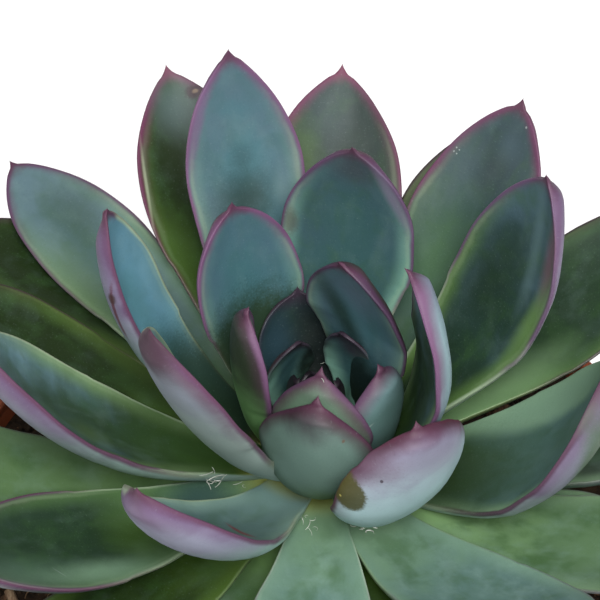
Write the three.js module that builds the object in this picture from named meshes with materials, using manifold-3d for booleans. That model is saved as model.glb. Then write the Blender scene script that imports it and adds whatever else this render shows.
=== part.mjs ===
// Potted succulent: a rosette of thick, cupped, pointed leaves on a short stem, in soil, in a plain round
// plastic pot. Millimetres, +Z up. The origin is the centre of the pot's flat base, on the surface it stands on.
import * as THREE from 'three';
import { mergeVertices } from 'three/addons/utils/BufferGeometryUtils.js';
import Module from 'manifold-3d';

const wasm = await Module();
wasm.setup();

// ---------------------------------------------------------------- driving dimensions

const POT = {
  rimRadius: 61.7, height: 95, baseRadius: 44, wall: 1.3, floor: 1.6,
  lipWidth: 2.3, lipDepth: 1.6, collarDepth: 14, collarStep: 0.9, edgeRound: 0.4,
  holes: 6, holeRadius: 4, holeRing: 27, holeSides: 14, sides: 60,
};
const SOIL = { belowRim: 5, relief: 0.9, footChamfer: 1, skirt: 2, rings: 8, sides: 48, flatRadius: 10.1 };
const STEM_HOLE = { radius: 7.6, depth: 24, sides: 28 };
const STEM = {
  buriedRadius: 7.2, buriedLength: 22, neckRadius: 7.4, collarUnderLeaves: 3, bulge: 0.5, shoulder: 1,
  topRadius: 3, topEdge: 0.1, crown: 0.4, sides: 28,
};
const GAP = 0.3;                       // clearance between pieces that touch

// The leafy zone: the lowest leaf sits low and far out on the stem, the highest one close to its top.
const SEAT = { lowest: 9, highest: 18, outerRing: 10.5, innerRing: 4.4, taper: 1.6 };
const STEM_OFFSET = 1.5;               // the plant stands this far to +X of the pot's axis

// Shares of the leaf's own length or width, except edge and embed, which are millimetres.
const LEAF = {
  widest: 0.64, baseWidth: 0.36, thickness: 0.2, baseThickness: 0.72, fullThicknessAt: 0.3, tipThickness: 0.65,
  slimBelow: 4, edge: 0.7, rootCup: 0.55, fullCupAt: 0.9, leastCup: 3, fullRollAt: 0.625,
  point: 0.064, embed: 1.6, midribSteps: 100,
};
const STATIONS = [0, 13, 27, 41, 54, 66, 76, 85, 92, 97];           // percent of the leaf's length
const ACROSS = [-1, -0.62, 0, 0.62, 1];                             // edge, quarter, midrib, quarter, edge

// Each leaf, from the lowest to the highest. points: the compass way it points, anticlockwise from +X.
// rise and stand: the slope above the horizontal at its root and at its tip. roll: its turn about its own
// midrib. sweep: how far it curves sideways. cup: half the angle that its blade is bent through, edge to edge.
const LEAF_FIELDS = ['points', 'length', 'width', 'rise', 'stand', 'roll', 'sweep', 'cup'];
const LOWER_TIER = [
  [286, 62, 22, -8, 8, 0, 0, 14],
  [342, 52, 19, -7, 8, -3, 2, 12],
  [6, 68, 22, -4, 10, -12, 0, 19],
  [191, 74, 23, -6, 30, -8, -14, 12],
  [245, 66, 22, -8, 15, 0, 0, 15],
  [61, 67, 22, 12, 27, 1, 1, 21],
  [334, 71, 22, -6, 33, 0, 3, 13],
  [226, 66, 22, -8, 15, 0, 0, 15],
  [137, 74, 21, 20, -5, 5, 17, 17],
  [167, 67, 23, 12, 34, 0, -1, 15],
  [30, 70, 23, 7, 36, 3, 3, 17],
  [87, 64, 24, 22, 33, 5, -2, 19],
  [114, 68, 23, 22, 30, -1, -5, 23],
  [302, 70, 25, 1, 40, -11, 8, 18],
];
const MIDDLE_TIER = [
  [209, 67, 22, -7, 39, -5, 6, 23],
  [138, 73, 19, 18, 1, -10, -13, 18],
  [272, 65, 22, 9, -3, -11, -18, 16],
  [186, 65, 22, 8, 69, 4, 10, 31],
  [51, 63, 23, 21, 57, 3, 3, 16],
  [109, 65, 21, 29, 74, 4, -2, 14],
  [351, 57, 31, -14, 88, -3, -10, 14],
  [243, 58, 22, 8, 71, 9, -20, 36],
  [22, 62, 23, 28, 87, 16, -8, 23],
  [164, 56, 15, 24, 90, -1, -6, 41],
  [79, 50, 23, 38, 94, -5, -6, 8],
];
const UPPER_TIER = [
  [307, 42, 26, 12, 96, 11, -20, 36],
  [130, 42, 21, 56, 80, 1, -4, 15],
  [226, 60, 20, 46, 75, -6, -8, 38],
  [336, 51, 21, 41, 116, 33, 1, 13],
  [271, 31, 21, 28, 110, -14, -13, 28],
  [25, 40, 21, 77, 108, 28, -6, 8],
  [191, 34, 16, 61, 98, -5, 6, 44],
  [316, 29, 18, 43, 102, 10, 3, 46],
  [102, 22, 16, 51, 67, -1, -1, 40],
  [273, 30, 17, 40, 112, -17, -11, 14],
  [41, 22, 9, 61, 117, 14, 5, 20],
  [149, 21, 9, 66, 119, -20, -5, 26],
];
// The bud: small closed leaves, a golden angle apart, fused to one body on top of the stem.
const BUD_STATIONS = [0, 20, 40, 60, 78, 92];
const BUD = {
  leaves: 6, goldenAngle: 137.5, firstPoints: 205, seat: 18.2, seatStep: 0.2, ring: 2.2,
  length: 15, width: 8.5, shrink: 0.09, rise: 68, riseStep: 2, stand: 102, cup: 45,
};

const COLOUR = {
  lowerLeaf: '#5f7d69', middleLeaf: '#5d8383', upperLeaf: '#5a7c86', bud: '#4a6068',
  stem: '#6f7a45', soil: '#2b1d14', pot: '#9c4a2c',
};
const ROUGHNESS = { leaf: 0.62, stem: 0.8, soil: 0.95, pot: 0.5 };

// ---------------------------------------------------------------- solids

const degrees = THREE.MathUtils.degToRad;
const mix = THREE.MathUtils.lerp;

function solidFrom(geometry) {
  const bare = geometry.clone();
  bare.deleteAttribute('normal');
  bare.deleteAttribute('uv');
  const merged = mergeVertices(bare, 1e-4);
  return new wasm.Manifold(new wasm.Mesh({
    numProp: 3,
    vertProperties: new Float32Array(merged.attributes.position.array),
    triVerts: new Uint32Array(merged.index.array),
  }));
}

function geometryFrom(solid) {
  const { vertProperties, triVerts } = solid.getMesh();
  const geometry = new THREE.BufferGeometry();
  geometry.setAttribute('position', new THREE.BufferAttribute(new Float32Array(vertProperties), 3));
  geometry.setIndex(new THREE.BufferAttribute(new Uint32Array(triVerts), 1));
  geometry.computeVertexNormals();
  return geometry;
}

function largestBody(solid) {
  return solid.decompose().reduce((best, body) => (body.volume() > best.volume() ? body : best));
}

function meshOf(name, geometry, colour, roughness) {
  const material = new THREE.MeshStandardMaterial({ color: colour, roughness, metalness: 0 });
  const mesh = new THREE.Mesh(geometry, material);
  mesh.name = name;
  return mesh;
}

function latheSolid(profile, sides) {
  const geometry = new THREE.LatheGeometry(profile.map(([r, z]) => new THREE.Vector2(r, z)), sides);
  geometry.rotateX(Math.PI / 2);
  return solidFrom(geometry);
}

// ---------------------------------------------------------------- pot

const collarFoot = POT.height - POT.collarDepth;
// The pot's outer radius at a height below the collar; the collar stands out from the same slope.
const wallRadius = (z) => mix(POT.baseRadius, POT.rimRadius - POT.collarStep, z / POT.height);
const collarRadius = (z) => wallRadius(z) + POT.collarStep;

function potSolid() {
  const { rimRadius, height, baseRadius, wall, floor, lipWidth, lipDepth, collarStep } = POT;
  const round = POT.edgeRound;
  const lipInside = rimRadius - lipWidth;
  const profile = [
    [0, 0],
    [baseRadius - round, 0],
    [wallRadius(round), round],
    [wallRadius(collarFoot), collarFoot],
    [collarRadius(collarFoot), collarFoot + collarStep],
    [rimRadius, height - round],
    [rimRadius - round, height],
    [lipInside + round, height],
    [lipInside, height - round],
    [lipInside, height - lipDepth],
    [collarRadius(height - 2 * lipDepth) - wall, height - 2 * lipDepth],
    [collarRadius(collarFoot) - wall, collarFoot],
    [wallRadius(collarFoot) - wall, collarFoot - collarStep],
    [wallRadius(floor) - wall, floor],
    [0, floor],
  ];
  let pot = latheSolid(profile, POT.sides);
  for (let i = 0; i < POT.holes; i++) {
    const angle = (i * 2 * Math.PI) / POT.holes;
    const drill = new THREE.CylinderGeometry(POT.holeRadius, POT.holeRadius, 3 * floor, POT.holeSides);
    drill.rotateX(Math.PI / 2);
    drill.translate(POT.holeRing * Math.cos(angle), POT.holeRing * Math.sin(angle), floor / 2);
    pot = pot.subtract(solidFrom(drill));
  }
  return pot;
}

// ---------------------------------------------------------------- soil

// Low, uneven mounds: a few crossed waves of different lengths.
function soilRelief(x, y) {
  const broad = Math.sin(0.52 * x + 0.8) * Math.cos(0.61 * y - 0.3);
  const middling = Math.sin(0.93 * x - 0.74 * y + 1.9);
  const fine = Math.cos(1.31 * y + 0.57 * x);
  return SOIL.relief * (broad + 0.6 * middling + 0.4 * fine);
}

function soilSolid() {
  const top = POT.height - SOIL.belowRim;
  const bottom = POT.floor + GAP;
  const inset = POT.wall + GAP;
  const skirtFoot = top - SOIL.skirt;
  const outer = collarRadius(skirtFoot) - inset;
  const profile = [
    [0, bottom],
    [wallRadius(bottom) - inset - SOIL.footChamfer, bottom],
    [wallRadius(bottom + SOIL.footChamfer) - inset, bottom + SOIL.footChamfer],
    [wallRadius(collarFoot - POT.collarStep) - inset, collarFoot - POT.collarStep - GAP],
    [collarRadius(collarFoot) - inset, collarFoot + GAP],
    [outer, skirtFoot],
  ];
  for (let ring = 1; ring <= SOIL.rings; ring++) {
    profile.push([mix(outer, SOIL.flatRadius, ring / SOIL.rings), top]);
  }
  profile.push([0, top]);
  const geometry = new THREE.LatheGeometry(profile.map(([r, z]) => new THREE.Vector2(r, z)), SOIL.sides);
  geometry.rotateX(Math.PI / 2);
  const position = geometry.attributes.position;
  for (let i = 0; i < position.count; i++) {
    const x = position.getX(i);
    const y = position.getY(i);
    if (position.getZ(i) > skirtFoot + GAP && Math.hypot(x, y) > SOIL.flatRadius + GAP) {
      position.setZ(i, top + soilRelief(x, y));
    }
  }
  const hole = new THREE.CylinderGeometry(STEM_HOLE.radius, STEM_HOLE.radius, 2 * STEM_HOLE.depth, STEM_HOLE.sides);
  hole.rotateX(Math.PI / 2);
  hole.translate(STEM_OFFSET, 0, top);
  return solidFrom(geometry).subtract(solidFrom(hole));
}

// ---------------------------------------------------------------- leaves

const seatHeight = (f) => POT.height + mix(SEAT.lowest, SEAT.highest, f);
const seatRing = (f) => mix(SEAT.outerRing, SEAT.innerRing, f ** SEAT.taper);

// Half the blade's width at a fraction s of its length, as a share of the greatest half width.
function bladeOutline(s) {
  if (s < LEAF.widest) {
    return mix(LEAF.baseWidth, 1, Math.sin((Math.PI / 2) * (s / LEAF.widest)) ** 1.6);
  }
  const past = (s - LEAF.widest) / (1 - LEAF.widest);
  return Math.max(1 - past ** 2.1, 0) ** 0.72;
}

function directionAt(leaf, s) {
  const slope = degrees(mix(leaf.rise, leaf.stand, s));
  const heading = degrees(leaf.points + leaf.sweep * s);
  return new THREE.Vector3(
    Math.cos(slope) * Math.cos(heading), Math.cos(slope) * Math.sin(heading), Math.sin(slope));
}

// Points along the midrib, from the root, which is sunk a little way into the stem, to the tip.
function midribOf(leaf) {
  const root = degrees(leaf.points);
  const at = new THREE.Vector3(STEM_OFFSET + leaf.ring * Math.cos(root), leaf.ring * Math.sin(root), leaf.seat);
  const rib = [at.clone()];
  for (let i = 0; i < LEAF.midribSteps; i++) {
    at.addScaledVector(directionAt(leaf, (i + 0.5) / LEAF.midribSteps), leaf.length / LEAF.midribSteps);
    rib.push(at.clone());
  }
  rib[0].addScaledVector(directionAt(leaf, 0), -LEAF.embed);
  return rib;
}

// One closed ring of points round the blade at a station: the upper face from edge to edge, then the lower.
function ringOf(leaf, rib, station, grow) {
  const s = station / LEAF.midribSteps;
  const along = directionAt(leaf, s);
  const heading = degrees(leaf.points + leaf.sweep * s);
  const level = new THREE.Vector3(-Math.sin(heading), Math.cos(heading), 0);
  const roll = degrees(leaf.roll * Math.min(s / LEAF.fullRollAt, 1));
  const side = level.clone().applyAxisAngle(along, roll);
  const up = new THREE.Vector3().crossVectors(along, side);
  const half = (leaf.width / 2) * bladeOutline(s) + grow;
  const cupped = mix(LEAF.rootCup, 1, Math.sin((Math.PI / 2) * Math.min(s / LEAF.fullCupAt, 1)));
  const bend = degrees(Math.max(leaf.cup, LEAF.leastCup) * cupped);
  const swell = mix(LEAF.baseThickness, 1, Math.min(s / LEAF.fullThicknessAt, 1)) * mix(1, LEAF.tipThickness, s);
  const slim = Math.min(half / LEAF.slimBelow, 1);
  const thickness = Math.max(LEAF.thickness * leaf.width * swell * slim, LEAF.edge);
  const faces = { upper: [], lower: [] };
  const radius = half / bend;
  for (const u of ACROSS) {
    const turn = bend * u;
    const outward = up.clone().multiplyScalar(Math.cos(turn)).addScaledVector(side, -Math.sin(turn));
    const onFace = rib[station].clone()
      .addScaledVector(side, radius * Math.sin(turn))
      .addScaledVector(up, radius * (1 - Math.cos(turn)));
    const depth = LEAF.edge + (thickness - LEAF.edge) * (1 - Math.abs(u) ** 2.4) ** 0.8;
    faces.upper.push(onFace.clone().addScaledVector(outward, grow));
    faces.lower.unshift(onFace.clone().addScaledVector(outward, -depth - grow));
  }
  return [...faces.upper, ...faces.lower];
}

// The whole leaf as one closed solid; grow makes it that much thicker all round. Both faces are split into
// triangles alike, fanning out from the midrib.
function leafSolid(leaf, grow = 0, stations = STATIONS) {
  const rib = midribOf(leaf);
  const rings = stations.map((station) => ringOf(leaf, rib, station, grow));
  const size = rings[0].length;
  const tip = rib[LEAF.midribSteps].clone()
    .addScaledVector(directionAt(leaf, 1), LEAF.point * leaf.width + grow);
  const vertices = [...rings.flat(), tip];
  const triangles = [];
  const midribIndex = (ACROSS.length - 1) / 2;
  for (let ring = 0; ring < rings.length - 1; ring++) {
    for (let i = 0; i < size; i++) {
      const a = ring * size + i;
      const b = ring * size + ((i + 1) % size);
      if (i % ACROSS.length < midribIndex) {
        triangles.push(a, a + size, b, b, a + size, b + size);
      } else {
        triangles.push(a, b + size, b, a, a + size, b + size);
      }
    }
  }
  const last = (rings.length - 1) * size;
  for (let i = 0; i < size; i++) {
    triangles.push(last + ((i + 1) % size), last + i, vertices.length - 1);
  }
  for (let i = 0; i < size / 2 - 1; i++) {
    triangles.push(i, size - 2 - i, size - 1 - i, i, i + 1, size - 2 - i);
  }
  return new wasm.Manifold(new wasm.Mesh({
    numProp: 3,
    vertProperties: new Float32Array(vertices.flatMap((v) => [v.x, v.y, v.z])),
    triVerts: new Uint32Array(triangles),
  }));
}

function rosetteLeaves() {
  const rows = [...LOWER_TIER, ...MIDDLE_TIER, ...UPPER_TIER];
  return rows.map((row, rank) => {
    const leaf = Object.fromEntries(LEAF_FIELDS.map((field, i) => [field, row[i]]));
    const fraction = rank / (rows.length - 1);
    return { ...leaf, seat: seatHeight(fraction), ring: seatRing(fraction) };
  });
}

function budLeaves() {
  return Array.from({ length: BUD.leaves }, (_, i) => {
    const young = 1 - BUD.shrink * i;
    return {
      points: BUD.firstPoints + BUD.goldenAngle * i, length: BUD.length * young, width: BUD.width * young,
      rise: BUD.rise + BUD.riseStep * i, stand: BUD.stand, roll: 0, sweep: 0, cup: BUD.cup,
      seat: POT.height + BUD.seat + BUD.seatStep * i, ring: BUD.ring * young,
    };
  });
}

// ---------------------------------------------------------------- stem

// The stem's profile above the soil follows the leaves' seats; grow widens it for clearance.
function stemSolid(grow = 0) {
  const soilTop = POT.height - SOIL.belowRim;
  const foot = soilTop - STEM.buriedLength - grow;
  const profile = [
    [0, foot],
    [STEM.buriedRadius + grow, foot],
    [STEM.buriedRadius + grow, soilTop],
    [STEM.neckRadius + grow, POT.height],
    [seatRing(0) + STEM.bulge + grow, seatHeight(0) - STEM.collarUnderLeaves],
  ];
  for (const f of [0, 0.25, 0.5, 0.75, 1]) {
    profile.push([seatRing(f) + STEM.bulge + grow, seatHeight(f) - STEM.shoulder]);
  }
  profile.push([STEM.topRadius + grow, seatHeight(1) - STEM.topEdge + grow]);
  profile.push([0, seatHeight(1) + STEM.crown + grow]);
  return latheSolid(profile, STEM.sides).translate([STEM_OFFSET, 0, 0]);
}

// ---------------------------------------------------------------- the plant in its pot

// Leaves are settled from the bud outwards: each gives way to the stem, the bud and every leaf inside it.
function settledLeaves(leaves, stemClearance, budClearance) {
  const clearances = [stemClearance, budClearance];
  const solids = [];
  for (let rank = leaves.length - 1; rank >= 0; rank--) {
    const trimmed = clearances.reduce((solid, clearance) => solid.subtract(clearance), leafSolid(leaves[rank]));
    solids[rank] = largestBody(trimmed);
    clearances.push(leafSolid(leaves[rank], GAP));
  }
  return solids;
}

function leafColour(rank) {
  if (rank < LOWER_TIER.length) {
    return COLOUR.lowerLeaf;
  }
  return rank < LOWER_TIER.length + MIDDLE_TIER.length ? COLOUR.middleLeaf : COLOUR.upperLeaf;
}

function buildPlant() {
  const plant = new THREE.Group();
  const bud = budLeaves();
  const budUnion = (grow) => wasm.Manifold.union(bud.map((leaf) => leafSolid(leaf, grow, BUD_STATIONS)));
  const stemClearance = stemSolid(GAP);
  settledLeaves(rosetteLeaves(), stemClearance, budUnion(GAP)).forEach((solid, rank) => {
    const name = `leaf_${String(rank + 1).padStart(2, '0')}`;
    plant.add(meshOf(name, geometryFrom(solid), leafColour(rank), ROUGHNESS.leaf));
  });
  const heart = largestBody(budUnion(0).subtract(stemClearance));
  plant.add(meshOf('heart', geometryFrom(heart), COLOUR.bud, ROUGHNESS.leaf));
  plant.add(meshOf('stem', geometryFrom(stemSolid()), COLOUR.stem, ROUGHNESS.stem));
  return plant;
}

const pottedSucculent = new THREE.Group();
pottedSucculent.add(meshOf('pot', geometryFrom(potSolid()), COLOUR.pot, ROUGHNESS.pot));
pottedSucculent.add(meshOf('soil', geometryFrom(soilSolid()), COLOUR.soil, ROUGHNESS.soil));
pottedSucculent.add(buildPlant());

export default pottedSucculent;
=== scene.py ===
"""Looks of a potted succulent: a fleshy rosette in peat, in a plain round plastic pot, on a pale floor."""
import logging
import math
import random
from dataclasses import dataclass
from enum import Enum
from typing import Callable, Optional, Sequence, Union

import bpy
import numpy as np
from mathutils import Matrix, Vector, noise
from mathutils.bvhtree import BVHTree


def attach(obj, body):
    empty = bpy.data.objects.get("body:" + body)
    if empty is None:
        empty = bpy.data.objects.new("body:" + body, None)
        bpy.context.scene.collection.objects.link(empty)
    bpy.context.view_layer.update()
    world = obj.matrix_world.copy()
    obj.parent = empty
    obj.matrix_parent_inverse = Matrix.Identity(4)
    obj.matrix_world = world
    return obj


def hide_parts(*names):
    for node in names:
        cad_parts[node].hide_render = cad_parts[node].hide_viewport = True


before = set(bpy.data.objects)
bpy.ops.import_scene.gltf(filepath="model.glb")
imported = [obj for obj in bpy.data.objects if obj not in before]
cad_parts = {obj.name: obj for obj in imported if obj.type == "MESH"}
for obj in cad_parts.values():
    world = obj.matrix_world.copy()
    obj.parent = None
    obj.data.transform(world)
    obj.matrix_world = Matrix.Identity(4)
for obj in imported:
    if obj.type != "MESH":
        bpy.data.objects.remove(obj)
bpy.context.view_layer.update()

LOG = logging.getLogger("potted_succulent")
MM = 0.001
Piece = bpy.types.Object
Material = bpy.types.Material
Socket = bpy.types.NodeSocket
Triple = tuple[float, float, float]
Colour = Triple
Input = Union[float, "Value", Socket, Colour]


# ------------------------------------------------------------------ shader maths


class Value:
    """A number that varies over a surface. Sums on it add the Math nodes that work them out."""

    def __init__(self, graph: "Graph", socket: Socket) -> None:
        """Wraps one output socket of a graph."""
        self.graph = graph
        self.socket = socket

    def _math(self, operation: str, first: Input, second: Input = 0.0) -> "Value":
        """Adds one Math node.

        Args:
            operation: The node's operation.
            first: Its first value.
            second: Its second value.

        Returns:
            The node's result.
        """
        made = self.graph.node("ShaderNodeMath", {"operation": operation}, {0: first, 1: second})
        return Value(self.graph, made.outputs[0])

    def __add__(self, other: Input) -> "Value":
        """Sum."""
        return self._math("ADD", self, other)

    __radd__ = __add__

    def __sub__(self, other: Input) -> "Value":
        """Difference."""
        return self._math("SUBTRACT", self, other)

    def __rsub__(self, other: Input) -> "Value":
        """Difference, the other way round."""
        return self._math("SUBTRACT", other, self)

    def __mul__(self, other: Input) -> "Value":
        """Product."""
        return self._math("MULTIPLY", self, other)

    __rmul__ = __mul__

    def __truediv__(self, other: Input) -> "Value":
        """Quotient."""
        return self._math("DIVIDE", self, other)

    def __pow__(self, other: Input) -> "Value":
        """Power."""
        return self._math("POWER", self, other)

    def size(self) -> "Value":
        """The value without its sign."""
        return self._math("ABSOLUTE", self)

    def rises(self, low: float, high: float) -> "Value":
        """A soft step.

        Args:
            low: Where it starts; it may be above high, and then the step falls.
            high: Where it ends.

        Returns:
            0 at low, 1 at high, smooth between and flat beyond.
        """
        limits = {"Value": self, "From Min": min(low, high), "From Max": max(low, high)}
        made = self.graph.node("ShaderNodeMapRange", {"interpolation_type": "SMOOTHSTEP"}, limits)
        step = Value(self.graph, made.outputs[0])
        return step if low < high else 1.0 - step


class Graph:
    """The node tree of one material, with a Principled shader at its end."""

    def __init__(self, name: str) -> None:
        """Starts an empty material.

        Args:
            name: The material's name.
        """
        self.material = bpy.data.materials.new(name)
        self.material.use_nodes = True
        self.tree = self.material.node_tree
        self.tree.nodes.clear()

    def node(self, kind: str, settings: dict, inputs: dict) -> bpy.types.Node:
        """Adds a node.

        Args:
            kind: Its type.
            settings: Its properties, set before its sockets.
            inputs: Values or links by socket name or number.

        Returns:
            The node.
        """
        made = self.tree.nodes.new(kind)
        for key, value in settings.items():
            setattr(made, key, value)
        for key, value in inputs.items():
            socket = made.inputs[key]
            if isinstance(value, Value):
                value = value.socket
            if isinstance(value, Socket):
                self.tree.links.new(value, socket)
            elif isinstance(value, tuple) and len(value) == 3 and socket.type == "RGBA":
                socket.default_value = (*value, 1.0)
            else:
                socket.default_value = value
        return made

    def attribute(self, name: str) -> Value:
        """A number stored on the piece's own points."""
        made = self.node("ShaderNodeAttribute", {"attribute_name": name}, {})
        return Value(self, made.outputs["Fac"])

    def attribute_vector(self, name: str) -> Socket:
        """Three numbers stored on the piece's own points."""
        return self.node("ShaderNodeAttribute", {"attribute_name": name}, {}).outputs["Vector"]

    def object_place(self) -> Socket:
        """The place on the piece, in metres."""
        return self.node("ShaderNodeTexCoord", {}, {}).outputs["Object"]

    def height_mm(self, vector: Socket) -> Value:
        """How high a place is, in millimetres."""
        parts = self.node("ShaderNodeSeparateXYZ", {}, {0: vector})
        return Value(self, parts.outputs[2]) * (1 / MM)

    def stretched(self, vector: Socket, scale: Triple, shift: Triple = (0, 0, 0)) -> Socket:
        """A vector scaled and shifted along each axis."""
        inputs = {"Vector": vector, "Scale": scale, "Location": shift}
        return self.node("ShaderNodeMapping", {}, inputs).outputs[0]

    def noise(
        self, vector: Socket, scale: float, detail: float = 2.0, rough: float = 0.5, warp: float = 0.0
    ) -> Value:
        """Cloudy noise from 0 to 1.

        Args:
            vector: Where it is read.
            scale: Its fineness, per unit of vector.
            detail: Its number of finer layers.
            rough: How strong those are.
            warp: How far it is distorted.

        Returns:
            The noise.
        """
        inputs = {"Vector": vector, "Scale": scale, "Detail": detail, "Roughness": rough, "Distortion": warp}
        return Value(self, self.node("ShaderNodeTexNoise", {}, inputs).outputs["Fac"])

    def mix(self, amount: Input, first: Input, second: Input) -> Socket:
        """Mixes two colours.

        Args:
            amount: 0 for the first, 1 for the second.
            first: A colour.
            second: A colour.

        Returns:
            The mixed colour.
        """
        settings = {"data_type": "RGBA", "clamp_factor": True}
        return self.node("ShaderNodeMix", settings, {0: amount, 6: first, 7: second}).outputs[2]

    def finish(
        self,
        colour: Input,
        roughness: Input,
        height: Optional[Value] = None,
        bump: float = 1.0,
        constants: Optional[dict] = None,
    ) -> Material:
        """Ends the tree in a Principled shader.

        Args:
            colour: Base colour.
            roughness: Roughness.
            height: The relief in millimetres, for a Bump node.
            bump: The strength of that relief.
            constants: The shader's fixed sockets.

        Returns:
            The material.
        """
        inputs: dict = {"Base Color": colour, "Roughness": roughness}
        inputs.update(constants or {})
        if height is not None:
            bumped = self.node("ShaderNodeBump", {}, {"Height": height, "Distance": MM, "Strength": bump})
            inputs["Normal"] = bumped.outputs[0]
        shader = self.node("ShaderNodeBsdfPrincipled", {}, inputs)
        self.node("ShaderNodeOutputMaterial", {}, {"Surface": shader.outputs[0]})
        return self.material


# ------------------------------------------------------------------ modelling helpers


def only(piece: Piece) -> None:
    """Selects a piece alone and makes it the active one.

    Args:
        piece: The piece.
    """
    bpy.ops.object.select_all(action="DESELECT")
    piece.select_set(True)
    bpy.context.view_layer.objects.active = piece


def begin_edit(piece: Piece) -> None:
    """Opens a piece for editing with nothing selected.

    Args:
        piece: The piece.
    """
    only(piece)
    bpy.ops.object.mode_set(mode="EDIT")
    bpy.ops.mesh.select_all(action="DESELECT")


def end_edit() -> None:
    """Closes the piece that is open for editing."""
    bpy.ops.object.mode_set(mode="OBJECT")


def pick(piece: Piece, kind: str, chosen: Callable[[Vector], bool]) -> None:
    """Selects edges or vertices of a piece that is open for editing.

    Args:
        piece: The piece.
        kind: VERT or EDGE.
        chosen: Whether one with its middle at a place is wanted.
    """
    bpy.ops.mesh.select_mode(type=kind)
    bpy.ops.mesh.select_all(action="DESELECT")
    bpy.ops.object.mode_set(mode="OBJECT")
    mesh = piece.data
    if kind == "VERT":
        for vertex in mesh.vertices:
            vertex.select = chosen(vertex.co)
    else:
        for edge in mesh.edges:
            a, b = (mesh.vertices[i].co for i in edge.vertices)
            edge.select = chosen((a + b) / 2)
    bpy.ops.object.mode_set(mode="EDIT")


def primitive(name: str, kind: str, **settings: object) -> Piece:
    """Adds a primitive and clears its place into its mesh.

    Args:
        name: The piece's name.
        kind: The primitive, as its operator names it.
        settings: The operator's settings.

    Returns:
        The new piece.
    """
    bpy.ops.object.select_all(action="DESELECT")
    getattr(bpy.ops.mesh, f"primitive_{kind}_add")(**settings)
    piece = bpy.context.object
    named(piece, name)
    piece.data.transform(piece.matrix_world)
    piece.matrix_world = Matrix.Identity(4)
    return piece


def rod(name: str, sides: int, radius: float, length: float, low: float, cuts: int) -> Piece:
    """Models a straight round rod along +Z, with rings that let it be bent.

    Args:
        name: The piece's name.
        sides: The number of sides.
        radius: Its radius.
        length: Its length.
        low: The height of its lower end.
        cuts: The number of rings between its ends.

    Returns:
        The rod.
    """
    middle = low + length / 2
    bar = primitive(name, "cylinder", vertices=sides, radius=radius, depth=length, location=(0, 0, middle))
    begin_edit(bar)
    pick(bar, "EDGE", lambda spot: abs(spot.z - middle) < length / 10)
    bpy.ops.mesh.subdivide(number_cuts=cuts)
    end_edit()
    return bar


def named(piece: Piece, name: str) -> None:
    """Names a piece and its mesh."""
    piece.name = name
    piece.data.name = name


def smooth(piece: Piece, degrees: Optional[float] = None) -> None:
    """Shades a piece smooth.

    Args:
        piece: The piece.
        degrees: The angle between faces above which an edge stays sharp, or nothing if none does.
    """
    only(piece)
    if degrees is None:
        bpy.ops.object.shade_smooth()
    else:
        bpy.ops.object.shade_smooth_by_angle(angle=math.radians(degrees))


def joined(pieces: Sequence[Piece], name: str) -> Piece:
    """Joins pieces into one.

    Args:
        pieces: The pieces.
        name: The name of the whole.

    Returns:
        The whole.
    """
    only(pieces[0])
    for piece in pieces:
        piece.select_set(True)
    bpy.ops.object.join()
    named(pieces[0], name)
    return pieces[0]


def apply_modifier(piece: Piece, kind: str, settings: dict) -> None:
    """Adds a modifier to a piece and applies it.

    Args:
        piece: The piece.
        kind: The modifier's type.
        settings: Its properties.
    """
    modifier = piece.modifiers.new(kind.lower(), kind)
    for key, value in settings.items():
        setattr(modifier, key, value)
    only(piece)
    bpy.ops.object.modifier_apply(modifier=modifier.name)


def drawn_up(name: str, rings: Sequence[tuple[float, float]], sides: int) -> Piece:
    """Draws a round body up from its first ring by extruding each ring from the last.

    Args:
        name: The piece's name.
        rings: Radius and height of each ring in millimetres, from the middle of the base to the middle again.
        sides: The number of sides.

    Returns:
        The closed body.
    """
    radius, height = rings[0]
    body = primitive(name, "circle", vertices=sides, radius=radius * MM, location=(0, 0, height * MM))
    begin_edit(body)
    bpy.ops.mesh.select_all(action="SELECT")
    bpy.ops.mesh.edge_face_add()
    bpy.ops.mesh.select_all(action="SELECT")
    for (radius, height), (wider, higher) in zip(rings, rings[1:]):
        lift = {"value": (0, 0, (higher - height) * MM)}
        bpy.ops.mesh.extrude_edges_move(TRANSFORM_OT_translate=lift)
        grow = wider / radius
        bpy.ops.transform.resize(value=(grow, grow, 1), center_override=(0, 0, higher * MM))
    bpy.ops.mesh.edge_face_add()
    bpy.ops.mesh.select_all(action="SELECT")
    bpy.ops.mesh.normals_make_consistent(inside=False)
    end_edit()
    return body


def copied(piece: Piece, name: str) -> Piece:
    """Copies a piece.

    Args:
        piece: The piece.
        name: The copy's name.

    Returns:
        The copy, with a mesh of its own.
    """
    twin = piece.copy()
    twin.data = piece.data.copy()
    named(twin, name)
    bpy.context.scene.collection.objects.link(twin)
    return twin


def store(mesh: bpy.types.Mesh, name: str, values: np.ndarray) -> None:
    """Stores a number or a vector for each point of a mesh.

    Args:
        mesh: The mesh.
        name: The name that the values are read by.
        values: A number or a row of three for each point.
    """
    kind = "FLOAT" if values.ndim == 1 else "FLOAT_VECTOR"
    layer = mesh.attributes.new(name, kind, "POINT")
    layer.data.foreach_set("value" if kind == "FLOAT" else "vector", values.astype(np.float32).ravel())


def place(mesh: bpy.types.Mesh, points: np.ndarray) -> None:
    """Moves a mesh's points to new places, given in millimetres."""
    mesh.vertices.foreach_set("co", (points * MM).astype(np.float32).ravel())
    mesh.update()


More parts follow.
